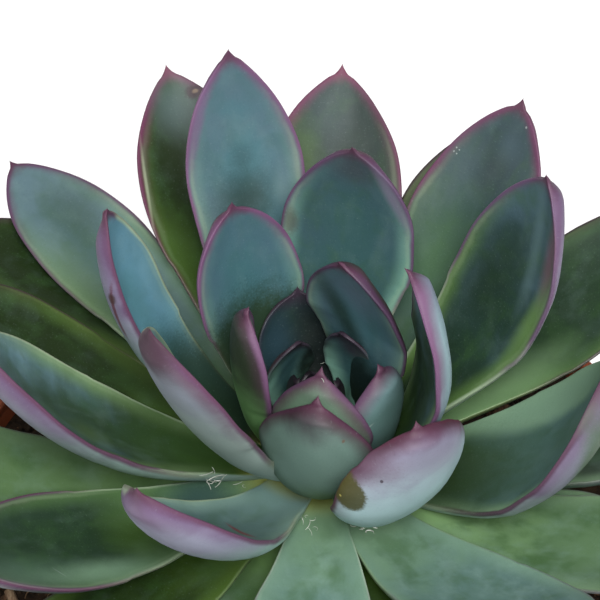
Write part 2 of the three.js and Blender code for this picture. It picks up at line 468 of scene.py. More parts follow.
def seat(piece: Piece, slot: str, material: Material, nodes: Sequence[str] = ()) -> None:
    """Dresses a finished piece and fixes it to the part's one body.

    Args:
        piece: The piece.
        slot: The record's material slot.
        material: Its material.
        nodes: The nodes that it replaces.
    """
    piece.data.materials.clear()
    piece.data.materials.append(material)
    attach(piece, "root")
    if nodes:
        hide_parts(*nodes)
    faces = len(piece.data.polygons)
    LOG.info("%s: %d faces, slot %s, stands for %s", piece.name, faces, slot, nodes or "nothing")


# ------------------------------------------------------------------ leaves: finish


@dataclass(frozen=True)
class Mark:
    """A blemish on a leaf. Its place is millimetres across from the midrib and along from the root."""

    across: float
    along: float
    wide: float
    long: float
    colour: Colour
    strength: float = 0.8
    ragged: float = 0.5
    soft: float = 0.35
    slant: float = 0.0
    under: bool = False


@dataclass(frozen=True)
class Skin:
    """The upper face: green flesh under a pale waxy bloom, which starts and is full at shares of the length.

    wear is how much of it is rubbed down to the worn colour, and veil how much a pale powder clouds it.
    """

    base: Colour
    flesh: Colour
    bloom: Colour
    starts: float
    full: float
    cover: float
    halo: Colour
    wear: float = 0.35
    veil: float = 0.15
    worn: Colour = (0.03, 0.075, 0.02)
    powder: Colour = (0.2, 0.3, 0.28)
    halo_strength: float = 0.85
    gloss: float = 0.34
    root: Colour = (0.3, 0.32, 0.08)


@dataclass(frozen=True)
class Back:
    """The underside, from root to tip, with the blush near its margins.

    turns and darkens are the shares of the length where the root's colour and the middle's give way.
    """

    root: Colour
    middle: Colour
    top: Colour
    blush: Colour
    turns: float
    darkens: float


AQUA = (0.035, 0.09, 0.085)


class Tint(Enum):
    """The skins that the leaves have."""

    BLUE = Skin(
        (0.035, 0.08, 0.03), (0.05, 0.132, 0.152), (0.06, 0.105, 0.13),
        0.1, 0.75, 0.9, (0.115, 0.21, 0.16), 0.35, 0.1, AQUA,
    )
    HAZE = Skin(
        (0.05, 0.1, 0.03), (0.052, 0.102, 0.095), (0.09, 0.146, 0.172),
        0.15, 0.8, 0.9, (0.13, 0.22, 0.12), 0.3, 0.15,
    )
    SKY = Skin(
        (0.012, 0.026, 0.01), (0.056, 0.15, 0.175), (0.09, 0.2, 0.27),
        0.15, 0.6, 0.92, (0.09, 0.19, 0.21), 0.25, 0.1, AQUA,
    )
    BAY = Skin(
        (0.01, 0.02, 0.005), (0.036, 0.105, 0.115), (0.05, 0.1, 0.13),
        0.25, 0.8, 0.9, (0.11, 0.21, 0.17), 0.3, 0.08, AQUA,
    )
    DEEP = Skin(
        (0.008, 0.018, 0.004), (0.028, 0.075, 0.075), (0.036, 0.075, 0.09),
        0.25, 0.8, 0.9, (0.17, 0.34, 0.26), 0.3, 0.08,
    )
    TEAL = Skin(
        (0.04, 0.09, 0.015), (0.022, 0.044, 0.022), (0.105, 0.19, 0.235),
        0.35, 0.92, 0.92, (0.12, 0.2, 0.08), 0.3, 0.12,
    )
    POND = Skin(
        (0.014, 0.028, 0.006), (0.06, 0.12, 0.1), (0.085, 0.155, 0.155),
        0.3, 0.8, 0.9, (0.18, 0.3, 0.17), 0.35, 0.12,
    )
    SAGE = Skin(
        (0.05, 0.09, 0.03), (0.01, 0.022, 0.014), (0.016, 0.03, 0.03),
        0.1, 0.8, 0.9, (0.04, 0.075, 0.025), 0.35, 0.05,
    )
    SLATE = Skin(
        (0.06, 0.11, 0.04), (0.02, 0.046, 0.045), (0.029, 0.052, 0.06),
        0.1, 0.8, 0.9, (0.06, 0.11, 0.06), 0.35, 0.1,
    )
    DUSK = Skin(
        (0.008, 0.015, 0.003), (0.013, 0.033, 0.019), (0.064, 0.113, 0.145),
        0.25, 0.95, 0.85, (0.1, 0.19, 0.045), 0.4, 0.08,
    )
    # Near-black skin: painted shade for the inner leaf and the bud that sit deep in the rosette's dark
    # hollow.
    NIGHT = Skin(
        (0.003, 0.006, 0.002), (0.006, 0.013, 0.01), (0.012, 0.024, 0.03),
        0.2, 1.0, 0.8, (0.014, 0.035, 0.04), 0.1, 0.0,
    )
    DARK = Skin(
        (0.065, 0.13, 0.018), (0.01, 0.021, 0.005), (0.02, 0.032, 0.026),
        0.9, 1.1, 0.6, (0.055, 0.1, 0.018), 0.35, 0.06,
    )
    FERN = Skin(
        (0.17, 0.3, 0.13), (0.013, 0.03, 0.014), (0.018, 0.037, 0.024),
        0.3, 0.9, 0.7, (0.06, 0.12, 0.04), 0.3, 0.07,
    )
    MOSS = Skin(
        (0.1, 0.185, 0.06), (0.024, 0.046, 0.025), (0.038, 0.065, 0.045),
        0.3, 0.9, 0.8, (0.15, 0.25, 0.14), 0.45, 0.14,
    )
    SEDGE = Skin(
        (0.1, 0.18, 0.06), (0.075, 0.135, 0.055), (0.05, 0.088, 0.052),
        0.3, 1.0, 0.85, (0.1, 0.165, 0.085), 0.45, 0.15,
    )
    PALE = Skin(
        (0.2, 0.34, 0.14), (0.08, 0.145, 0.07), (0.045, 0.08, 0.05),
        0.3, 1.0, 0.85, (0.12, 0.2, 0.11), 0.6, 0.22,
    )
    MINT = Skin(
        (0.145, 0.245, 0.135), (0.078, 0.142, 0.122), (0.056, 0.105, 0.105),
        0.3, 0.95, 0.85, (0.13, 0.22, 0.16), 0.5, 0.3,
    )
    MIST = Skin(
        (0.12, 0.2, 0.185), (0.055, 0.1, 0.098), (0.05, 0.09, 0.1),
        0.3, 0.95, 0.85, (0.17, 0.27, 0.23), 0.35, 0.15,
    )


class Rear(Enum):
    """The undersides that the leaves have."""

    PEARL = Back(
        (0.34, 0.475, 0.5), (0.205, 0.205, 0.265), (0.11, 0.085, 0.15),
        (0.075, 0.028, 0.052), 0.78, 0.95,
    )
    LAVENDER = Back(
        (0.25, 0.38, 0.33), (0.21, 0.31, 0.34), (0.15, 0.155, 0.215),
        (0.12, 0.07, 0.12), 0.42, 0.91,
    )
    LILAC = Back(
        (0.25, 0.36, 0.34), (0.235, 0.24, 0.315), (0.12, 0.085, 0.14),
        (0.11, 0.07, 0.135), 0.6, 0.9,
    )
    SHELL = Back(
        (0.22, 0.32, 0.29), (0.17, 0.17, 0.22), (0.12, 0.085, 0.14),
        (0.1, 0.06, 0.12), 0.6, 0.92,
    )
    ASH = Back(
        (0.29, 0.37, 0.34), (0.18, 0.205, 0.24), (0.04, 0.02, 0.034),
        (0.09, 0.045, 0.075), 0.68, 0.91,
    )
    TEAL = Back(
        (0.06, 0.11, 0.1), (0.08, 0.148, 0.137), (0.12, 0.205, 0.21),
        (0.08, 0.045, 0.075), 0.5, 0.86,
    )
    GREEN = Back(
        (0.055, 0.095, 0.038), (0.108, 0.175, 0.148), (0.036, 0.026, 0.034),
        (0.036, 0.013, 0.021), 0.42, 0.89,
    )
    DIM = Back(
        (0.07, 0.125, 0.07), (0.095, 0.155, 0.105), (0.075, 0.055, 0.075),
        (0.06, 0.03, 0.046), 0.5, 0.98,
    )
    # Near-black underside: painted shade, used for the bud deep in the hollow.
    DARK = Back(
        (0.006, 0.01, 0.006), (0.012, 0.018, 0.014), (0.016, 0.016, 0.018),
        (0.016, 0.01, 0.015), 0.45, 0.85,
    )
    MOSS = Back(
        (0.12, 0.25, 0.095), (0.022, 0.033, 0.018), (0.026, 0.03, 0.026),
        (0.045, 0.024, 0.036), 0.62, 0.9,
    )


@dataclass(frozen=True)
class Margin:
    """The coloured edge: a line, pale near the root and mauve towards the tip, with a soft band inside it.

    sided is 1 where only the anticlockwise margin is mauve, -1 where only the other one is, and 0 for both.
    """

    strength: float = 0.85
    width: float = 0.5
    blush: float = 0.6
    band: float = 2.3
    mauve: Colour = (0.085, 0.037, 0.08)
    # The pale near the root is partly the edge's own tone and partly a painted highlight where the rounded
    # edge catches light.
    pale: Colour = (0.26, 0.34, 0.22)
    changes: float = 0.42
    crimson: float = 0.0
    crimson_colour: Colour = (0.075, 0.01, 0.025)
    tip: Colour = (0.07, 0.024, 0.045)
    sided: int = 0


class Surface:
    """What a leaf's shader knows at a point: where it lies on the blade, and the noises there."""

    def __init__(self, graph: Graph, seed: float) -> None:
        """Reads the stored places and adds the noises, whose fineness is per millimetre.

        Args:
            graph: The material's tree.
            seed: The leaf's own number, which shifts its noises.
        """
        self.graph = graph
        self.along = graph.attribute("along")
        self.across = graph.attribute("across")
        self.under = graph.attribute("under")
        self.margin = graph.attribute("margin_mm")
        self.to_tip = graph.attribute("tip_mm")
        self.blade = graph.attribute_vector("blade_mm")
        spot = graph.stretched(self.blade, (1, 1, 1), (seed, 3 * seed, 0))
        self.clouds = graph.noise(spot, 0.11, 3.0, 0.55, 0.6)
        self.mottle = graph.noise(spot, 0.45, 4.0, 0.6, 0.3)
        self.grain = graph.noise(spot, 2.6, 3.0, 0.6)
        self.streaks = graph.noise(graph.stretched(spot, (1.1, 0.09, 1.0)), 1.0, 3.0, 0.6, 0.2)
        self.worn = graph.noise(graph.stretched(spot, (1, 0.7, 1), (31, 7, 0)), 0.2, 3.5, 0.55, 0.3)
        self.veil = graph.noise(graph.stretched(spot, (1, 0.6, 1), (53, 19, 0)), 0.21, 4.0, 0.55, 0.3)

    def drift(self, amount: float) -> Value:
        """The share of the length, shifted about by up to half an amount."""
        return self.along + (self.clouds - 0.5) * amount


@dataclass(frozen=True)
class LeafFinish:
    """The whole finish of one leaf."""

    skin: Skin
    back: Back
    margin: Margin
    seed: float
    marks: tuple[Mark, ...] = ()
    scuff: float = 0.35
    speck: Colour = (0.36, 0.44, 0.44)

    def material(self, name: str) -> Material:
        """Builds the leaf's nodes.

        Args:
            name: The material's name.

        Returns:
            The material.
        """
        graph = Graph(name)
        at = Surface(graph, self.seed)
        cover = self._cover(at)
        colour = graph.mix(at.under, self._upper(at, cover), self._below(at))
        colour = self._edge(at, colour)
        for mark in self.marks:
            colour = self._blemish(at, colour, mark)
        colour = graph.mix(at.grain.rises(0.45, 0.25) * 0.3, colour, graph.mix(0.5, colour, (0.0, 0.0, 0.0)))
        colour = graph.mix(at.grain.rises(0.6, 0.75) * 0.1, colour, self.speck)
        roughness = self.skin.gloss + 0.14 * cover + 0.12 * (at.mottle - 0.5) + 0.1 * at.under
        height = 0.05 * at.mottle + 0.014 * at.grain + 0.02 * at.streaks
        return graph.finish(colour, roughness, height, 0.8, {"Specular IOR Level": 0.3})

    def _cover(self, at: Surface) -> Value:
        """How much bloom lies on the upper face.

        Args:
            at: The point.

        Returns:
            The share, least at the root and in the hollow, and rubbed off in streaks.
        """
        reach = at.drift(0.5).rises(self.skin.starts, self.skin.full)
        hollow = (at.across.size() + (at.clouds - 0.5) * 0.5).rises(0.75, 0.05)
        hollow = hollow * at.drift(0.3).rises(0.95, 0.7)
        rubbed = (at.mottle * 0.8 + at.clouds * 0.2).rises(0.54, 0.72) * self.scuff
        even = reach * (0.72 + 0.5 * at.clouds) * (0.88 + 0.2 * at.mottle)
        return even * (1.0 - 0.7 * hollow) * (1.0 - rubbed) * self.skin.cover

    def _upper(self, at: Surface, cover: Value) -> Socket:
        """The upper face's colour, without its edge.

        Args:
            at: The point.
            cover: How much bloom lies on it.

        Returns:
            The colour.
        """
        mix, skin = at.graph.mix, self.skin
        flesh = mix(at.drift(0.3).rises(0.02, 0.5), skin.base, skin.flesh)
        flesh = mix(at.along.rises(0.11, 0.0), flesh, skin.root)
        upper = mix(cover, flesh, skin.bloom)
        worn = (at.worn + (at.grain - 0.5) * 0.2).rises(0.42, 0.7) * at.along.rises(0.05, 0.25)
        upper = mix(worn * skin.wear, upper, skin.worn)
        veil = (at.veil + (at.mottle - 0.5) * 0.3).rises(0.44, 0.78) * at.along.rises(0.1, 0.35)
        upper = mix(veil * skin.veil, upper, skin.powder)
        halo = at.margin.rises(4.4, 0.3) * at.along.rises(0.06, 0.25) * at.along.rises(1.0, 0.55)
        return mix(halo * (0.4 + 1.0 * at.clouds) * skin.halo_strength, upper, skin.halo)

    def _below(self, at: Surface) -> Socket:
        """The underside's colour, without its edge.

        Args:
            at: The point.

        Returns:
            The colour.
        """
        mix, back, drift = at.graph.mix, self.back, at.drift(0.2)
        below = mix(drift.rises(back.turns - 0.14, back.turns + 0.14), back.root, back.middle)
        below = mix(drift.rises(back.darkens - 0.1, back.darkens + 0.1), below, back.top)
        blush = at.margin.rises(3.6, 0.6) * drift.rises(0.4, 0.85) * (0.4 + 0.8 * at.clouds)
        return mix(blush, below, back.blush)

    def _edge(self, at: Surface, colour: Input) -> Socket:
        """Lays the margin's line, the band inside it and the dark tip over a colour.

        Args:
            at: The point.
            colour: The colour so far.

        Returns:
            The colour with its edge.
        """
        mix, trim, drift, on_top = at.graph.mix, self.margin, at.drift(0.35), 1.0 - at.under
        side = 1.0
        if trim.sided:
            side = (at.across * trim.sided + at.to_tip.rises(8.0, 2.0)).rises(-0.2, 0.2)
        # The pale part of the line and the thread inside it are partly a painted highlight on the rounded
        # edge.
        line = mix(drift.rises(trim.changes - 0.14, trim.changes + 0.14) * side, trim.pale, trim.mauve)
        band = (at.margin + (at.mottle - 0.5) * 1.6).rises(trim.band, 0.1) * drift.rises(0.5, 0.9)
        colour = mix(band * trim.blush * side * on_top, colour, trim.mauve)
        widths = at.margin / (trim.width * (0.4 + 1.1 * at.clouds) + at.to_tip.rises(14.0, 1.0) * 0.4)
        thread = widths.rises(1.0, 1.9) * widths.rises(3.4, 2.0)
        thread = thread * drift.rises(0.25, 0.45) * drift.rises(0.92, 0.7) * on_top * 0.2
        colour = mix(thread * trim.strength, colour, trim.pale)
        colour = mix(widths.rises(1.7, 0.35) * at.along.rises(0.1, 0.25) * trim.strength, colour, line)
        if trim.crimson:
            core = (at.margin / (0.1 + 0.4 * at.streaks)).rises(1.3, 0.6) * drift.rises(0.3, 0.5)
            colour = mix(core * trim.crimson, colour, trim.crimson_colour)
        point = (at.to_tip + (at.mottle - 0.5) * 2.0).rises(4.6, 1.0)
        return mix(point * 0.85, colour, trim.tip)

    @staticmethod
    def _blemish(at: Surface, colour: Input, mark: Mark) -> Socket:
        """Lays one blemish over a colour.

        Args:
            at: The point.
            colour: The colour so far.
            mark: The blemish.

        Returns:
            The colour with the blemish on it.
        """
        graph = at.graph
        parts = graph.node("ShaderNodeSeparateXYZ", {}, {0: at.blade})
        x = Value(graph, parts.outputs[0]) - mark.across
        y = Value(graph, parts.outputs[1]) - mark.along
        cos, sin = math.cos(math.radians(mark.slant)), math.sin(math.radians(mark.slant))
        over = (x * cos + y * sin) / mark.wide
        up = (y * cos - x * sin) / mark.long
        rough = (at.mottle + at.grain - 1.0) * mark.ragged
        away = (over * over + up * up) ** 0.5 + rough
        side = at.under if mark.under else 1.0 - at.under
        laid = away.rises(1.0 + mark.soft, 1.0 - mark.soft) * side * mark.strength
        return graph.mix(laid, colour, mark.colour)


# ------------------------------------------------------------------ leaves: form


@dataclass(frozen=True)
class Leaf:
    """One leaf. Angles are degrees and lengths millimetres.

    points is the way it points, anticlockwise from +X. rise and stand are its slope at root and tip, roll its
    turn about its midrib, sweep its sideways curve and cup half the angle that its blade is bent through. A
    greater taper makes a sharper point. fold turns one margin up further, the anticlockwise one where it is
    positive, and crumple puckers the top edge.
    """

    points: float
    length: float
    width: float
    rise: float
    stand: float
    roll: float
    sweep: float
    cup: float
    tint: Tint
    rear: Rear = Rear.GREEN
    taper: float = 0.84
    margin: Margin = Margin()
    fold: float = 0.0
    crumple: float = 0.0
    marks: tuple[Mark, ...] = ()


@dataclass
class Rosette:
    """The leaves and the bud. Lengths are millimetres, or shares of a leaf's own length, width or thickness.

    wobble, ripple, wander and dent are how far a blade's outline, its edges up and sideways, and its face
    stray. under_shift sets the underside's noises apart from the upper face's.
    """

    rim_height: float = 95.0
    stem_shift: float = 1.5
    lowest_seat: float = 9.0
    highest_seat: float = 18.0
    outer_ring: float = 10.5
    inner_ring: float = 4.4
    ring_taper: float = 1.6
    widest: float = 0.64
    base_width: float = 0.36
    thickness: float = 0.2
    base_thickness: float = 0.72
    full_thickness_at: float = 0.3
    thinning: float = 0.35
    slim_below: float = 4.0
    edge: float = 0.8
    root_cup: float = 0.55
    full_cup_at: float = 0.9
    least_cup: float = 3.0
    full_roll_at: float = 0.625
    full_fold_at: float = 0.45
    mucro: float = 1.9
    mucro_radius: float = 0.95
    mucro_flare: float = 1.5
    wobble: float = 0.035
    ripple: float = 0.3
    wander: float = 0.3
    dent: float = 0.16
    embed: float = 1.5
    around: int = 56
    rings: int = 60
    arc_steps: int = 12
    rib_steps: int = 400
    under_shift: float = 60.0
    crowding: float = 1.3
    lower_count: int = 14
    middle_count: int = 11
    bud_scales: int = 6
    bud_length: float = 15.0
    bud_width: float = 8.5
    bud_ring: float = 2.2
    bud_seat: float = 18.2
    spiral_turn: float = 137.5

    def leaves(self) -> list[Leaf]:
        """The leaves, from the lowest to the highest.

        Returns:
            Fourteen spreading leaves, eleven that stand up at the tip and twelve short inner ones.
        """
        tint, rear = Tint, Rear
        faint = Margin(0.4, 0.35, 0.1, pale=(0.2, 0.28, 0.13))
        crisp = Margin(0.7, 0.35, 0.1, pale=(0.3, 0.37, 0.28))
        dull = (0.035, 0.015, 0.022)
        dim = Margin(0.75, 0.4, 0.5, mauve=(0.04, 0.018, 0.028), pale=(0.12, 0.15, 0.06), tip=dull)
        bold = Margin(0.95, 0.6, 0.75, 3.0, mauve=(0.12, 0.055, 0.115))
        rosy = Margin(0.95, 0.7, 0.8, 3.2, mauve=(0.1, 0.024, 0.058), changes=0.3, tip=(0.12, 0.025, 0.055))
        cool = Margin(0.95, 0.6, 0.6, 2.8, mauve=(0.085, 0.042, 0.09))
        folded = Margin(0.9, 0.5, 0.4, crimson=0.3, changes=0.3, sided=1)
        turned = Margin(0.9, 0.5, 0.4, mauve=(0.06, 0.027, 0.055), crimson=0.2, changes=0.3, sided=-1)
        # Dim edge and dark tip: painted shade for the small leaves deep in the hollow.
        painted_shade = (0.03, 0.018, 0.03)
        hollow_shade_rim = Margin(0.45, 0.4, 0.35, 2.0, mauve=(0.032, 0.022, 0.036), pale=(0.05, 0.08, 0.05), tip=painted_shade)
        # painted_sheen is the colour of a painted highlight; sheer is pale scuffed wax.
        painted_sheen, sheer = (0.07, 0.105, 0.103), (0.42, 0.48, 0.46)
        specks = [(7.9, 52.1, 0.13, 0.16), (7.3, 51.9, 0.15, 0.13)]
        specks += [(8.1, 51.3, 0.12, 0.16), (7.5, 51.1, 0.13, 0.15)]
        lower = [
            Leaf(286, 62, 22, -8, 8, 0, 0, 14, tint.DARK, margin=faint),
            Leaf(342, 52, 19, -7, 8, -3, 2, 12, tint.MOSS, margin=faint),
            Leaf(6, 68, 22, -4, 10, -12, 0, 19, tint.MOSS, margin=faint),
            Leaf(191, 74, 23, -6, 30, -8, -14, 12, tint.SEDGE, margin=faint),
            Leaf(245, 66, 22, -8, 15, 0, 0, 15, tint.MOSS, margin=faint),
            Leaf(61, 67, 22, 12, 27, 1, 1, 21, tint.DARK, margin=dim),
            Leaf(334, 71, 22, -6, 33, 0, 3, 13, tint.PALE, margin=faint),
            Leaf(226, 66, 22, -8, 15, 0, 0, 15, tint.DARK, margin=faint),
            Leaf(137, 74, 21, 20, -5, 5, 17, 17, tint.DARK, margin=dim),
            Leaf(167, 67, 23, 12, 34, 0, -1, 15, tint.DARK, margin=dim),
            Leaf(
                30, 70, 23, 7, 36, 3, 3, 17, tint.FERN, margin=dim,
                marks=(Mark(-6.5, 22, 3.5, 12, (0.2, 0.34, 0.16), 0.6, 0.3, 0.9),),
            ),
            Leaf(
                87, 64, 24, 22, 33, 5, -2, 19, tint.SAGE, taper=0.8, margin=rosy,
                marks=(
                    # Painted shade: a dark patch in the middle of the cupped blade.
                    Mark(-4.6, 51, 3.6, 8, (0.01, 0.022, 0.016), 0.65, 0.3, 0.95),
                    Mark(6.2, 47, 2.6, 6, (0.06, 0.11, 0.02), 0.5, 0.4, 0.95),
                    # Painted highlight: a soft grey sheen near the tip.
                    Mark(1.6, 56, 3.0, 4.2, (0.045, 0.074, 0.074), 0.4, 0.5, 0.95),
                ),
            ),
            Leaf(
                114, 68, 23, 22, 30, -1, -5, 23, tint.DARK, margin=rosy,
                marks=(
                    # Painted highlight: a soft sheen near the tip.
                    Mark(0.3, 61.5, 3.8, 4.8, painted_sheen, 0.75, 0.4, 0.95),
                    Mark(-3.6, 63.7, 1.7, 1.2, (0.03, 0.014, 0.02), 0.88, 0.6, 0.4),
                    Mark(-3.6, 63.7, 0.5, 0.35, (0.17, 0.12, 0.08), 0.8, 0.6, 0.5),
                    # Painted highlight: a cream line along the left margin where it catches light.
                    Mark(10.3, 48, 0.26, 7, (0.34, 0.38, 0.26), 0.55, 0.5, 0.8, 10),
                    Mark(8, 33, 4, 9, (0.05, 0.1, 0.018), 0.6, 0.4, 0.8),
                ),
            ),
            Leaf(302, 70, 25, 1, 40, -11, 8, 18, tint.MINT, margin=faint),
        ]
        middle = [
            Leaf(
                209, 67, 22, -7, 39, -5, 6, 23, tint.FERN, rear.TEAL,
                margin=Margin(0.9, 0.5, 0.6, 2.4, crimson=0.3, changes=0.5),
                marks=(
                    Mark(6, 53, 4, 8, (0.1, 0.18, 0.12), 0.45, 0.4, 0.95),
                    Mark(7.6, 37, 2.6, 9, (0.14, 0.235, 0.15), 0.75, 0.5, 0.9, 4),
                    Mark(1, 24, 5, 6, (0.05, 0.1, 0.012), 0.6, 0.4, 0.95),
                    Mark(-1.6, 12.5, 5, 7, (0.02, 0.048, 0.055), 0.85, 0.3, 0.8),
                    Mark(5.6, 44.7, 0.12, 1.2, sheer, 0.16, 0.8, 0.6, 70),
                ),
            ),
            Leaf(
                138, 73, 19, 18, 1, -10, -13, 18, tint.HAZE, rear.LILAC, taper=0.76,
                margin=Margin(0.9, 0.5, 0.6, changes=0.5),
                marks=(
                    Mark(-2.5, 57, 4, 7, (0.03, 0.055, 0.035), 0.5, 0.3, 0.95),
                    Mark(6.4, 42, 3.2, 12, (0.1, 0.17, 0.055), 0.55, 0.5, 0.95),
                ),
            ),
            Leaf(272, 65, 22, 9, -3, -11, -18, 16, tint.MINT, margin=crisp),
            Leaf(
                186, 65, 22, 8, 69, 4, 10, 31, tint.TEAL, rear.SHELL, margin=folded, fold=17,
                marks=(Mark(3.2, 34, 2.4, 3.6, (0.07, 0.12, 0.025), 0.4, 0.6, 0.9),),
            ),
            Leaf(
                51, 63, 23, 21, 57, 3, 3, 16, tint.SLATE, taper=0.76,
                margin=Margin(0.9, 0.7, 0.7, 3.0, mauve=(0.1, 0.03, 0.07), changes=0.5),
                marks=(
                    # Painted shade: a dark patch in the middle of the cupped blade.
                    Mark(1, 52.5, 3.5, 5.5, (0.01, 0.02, 0.024), 0.65, 0.3, 0.95),
                    # Painted highlight: a soft sheen.
                    Mark(5.5, 49, 2.6, 6, (0.055, 0.088, 0.092), 0.5, 0.35, 0.95),
                    Mark(-0.8, 56, 2, 2.4, (0.05, 0.09, 0.11), 0.35, 0.5, 0.95),
                    Mark(3.4, 33, 7, 9, (0.055, 0.115, 0.05), 0.6, 0.4, 0.9),
                    *(Mark(*speck, sheer, 0.45, 0.6, 0.4) for speck in specks),
                    Mark(-2.5, 60.4, 0.2, 0.2, sheer, 0.4, 0.8, 0.5),
                ),
            ),
            Leaf(
                109, 65, 21, 29, 74, 4, -2, 14, tint.BLUE, margin=bold,
                marks=(
                    # Painted shadow cast by the leaf in front.
                    Mark(0.9, 39.2, 5.0, 4.6, (0.014, 0.032, 0.026), 0.85, 0.4, 0.95),
                    Mark(-0.2, 47, 1.7, 1.7, (0.03, 0.065, 0.07), 0.5, 0.6, 0.9),
                    Mark(7.0, 54.5, 0.9, 8, (0.12, 0.08, 0.15), 0.6, 0.3, 0.7, 22),
                    Mark(-6.1, 39.7, 1.3, 2.4, (0.13, 0.21, 0.2), 0.3, 0.7, 0.95),
                ),
            ),
            Leaf(
                351, 57, 31, -14, 88, -3, -10, 14, tint.POND, rear.SHELL, margin=turned, fold=-5,
                marks=(
                    # Pale band along the upper margin: paler bloom and painted light on the side that faces
                    # the lamps.
                    Mark(13, 34, 6.0, 30, (0.18, 0.3, 0.2), 0.85, 0.3, 0.3),
                    # Painted shade over the blade near the root.
                    Mark(-3, 16, 12, 12, (0.015, 0.03, 0.005), 0.75, 0.3, 0.7),
                    Mark(-5.5, 44, 3.6, 9, (0.06, 0.11, 0.06), 0.9, 0.3, 0.5, 0, True),
                ),
            ),
            Leaf(
                243, 58, 22, 8, 71, 9, -20, 36, tint.MIST, rear.LILAC, margin=folded,
                marks=(Mark(1.6, 21.8, 3.6, 0.36, (0.15, 0.014, 0.028), 0.95, 0.4, 0.4, 21),),
            ),
            Leaf(
                22, 62, 23, 28, 87, 16, -8, 23, tint.DUSK, rear.LILAC, taper=0.76,
                margin=Margin(0.95, 0.6, 0.5, 2.6, mauve=(0.105, 0.06, 0.115), changes=0.5), fold=-5,
                marks=(
                    # Painted shade: a dark middle where inner leaves shade the blade.
                    Mark(3.8, 38, 5.5, 10, (0.01, 0.022, 0.014), 0.7, 0.3, 0.95),
                    # Pale streak: thicker bloom and a painted highlight.
                    Mark(-1.9, 50, 1.2, 10, (0.12, 0.2, 0.2), 0.32, 0.4, 0.95, -13),
                    Mark(-8.8, 39, 1.7, 7, (0.14, 0.25, 0.07), 0.65, 0.4, 0.9),
                    Mark(-7.2, 51.5, 1.9, 6.5, (0.15, 0.08, 0.11), 0.75, 0.4, 0.85, -8),
                ),
            ),
            Leaf(
                164, 56, 15, 24, 90, -1, -6, 41, tint.SKY, rear.LILAC, margin=folded, fold=46,
                marks=(
                    # Painted shade near the root, between neighbouring leaves.
                    Mark(-1, 14, 7, 13, (0.012, 0.026, 0.012), 0.9, 0.3, 0.5),
                    Mark(5.6, 40, 0.3, 5.5, (0.09, 0.012, 0.02), 0.8, 0.5, 0.4, 0, True),
                    Mark(5.6, 43, 0.6, 1.1, (0.05, 0.025, 0.02), 0.8, 0.6, 0.4, 0, True),
                ),
            ),
            Leaf(
                79, 50, 23, 38, 94, -5, -6, 8, tint.DEEP, taper=0.76, margin=cool,
                marks=(
                    Mark(-0.5, 47, 4, 3, (0.045, 0.045, 0.055), 0.6, 0.4, 0.9),
                    Mark(-7.2, 42.5, 1.0, 6.0, (0.15, 0.13, 0.19), 0.7, 0.4, 0.8, -30),
                    Mark(10.3, 33, 1.2, 2.4, (0.06, 0.035, 0.03), 0.55, 0.6, 0.6),
                ),
            ),
        ]
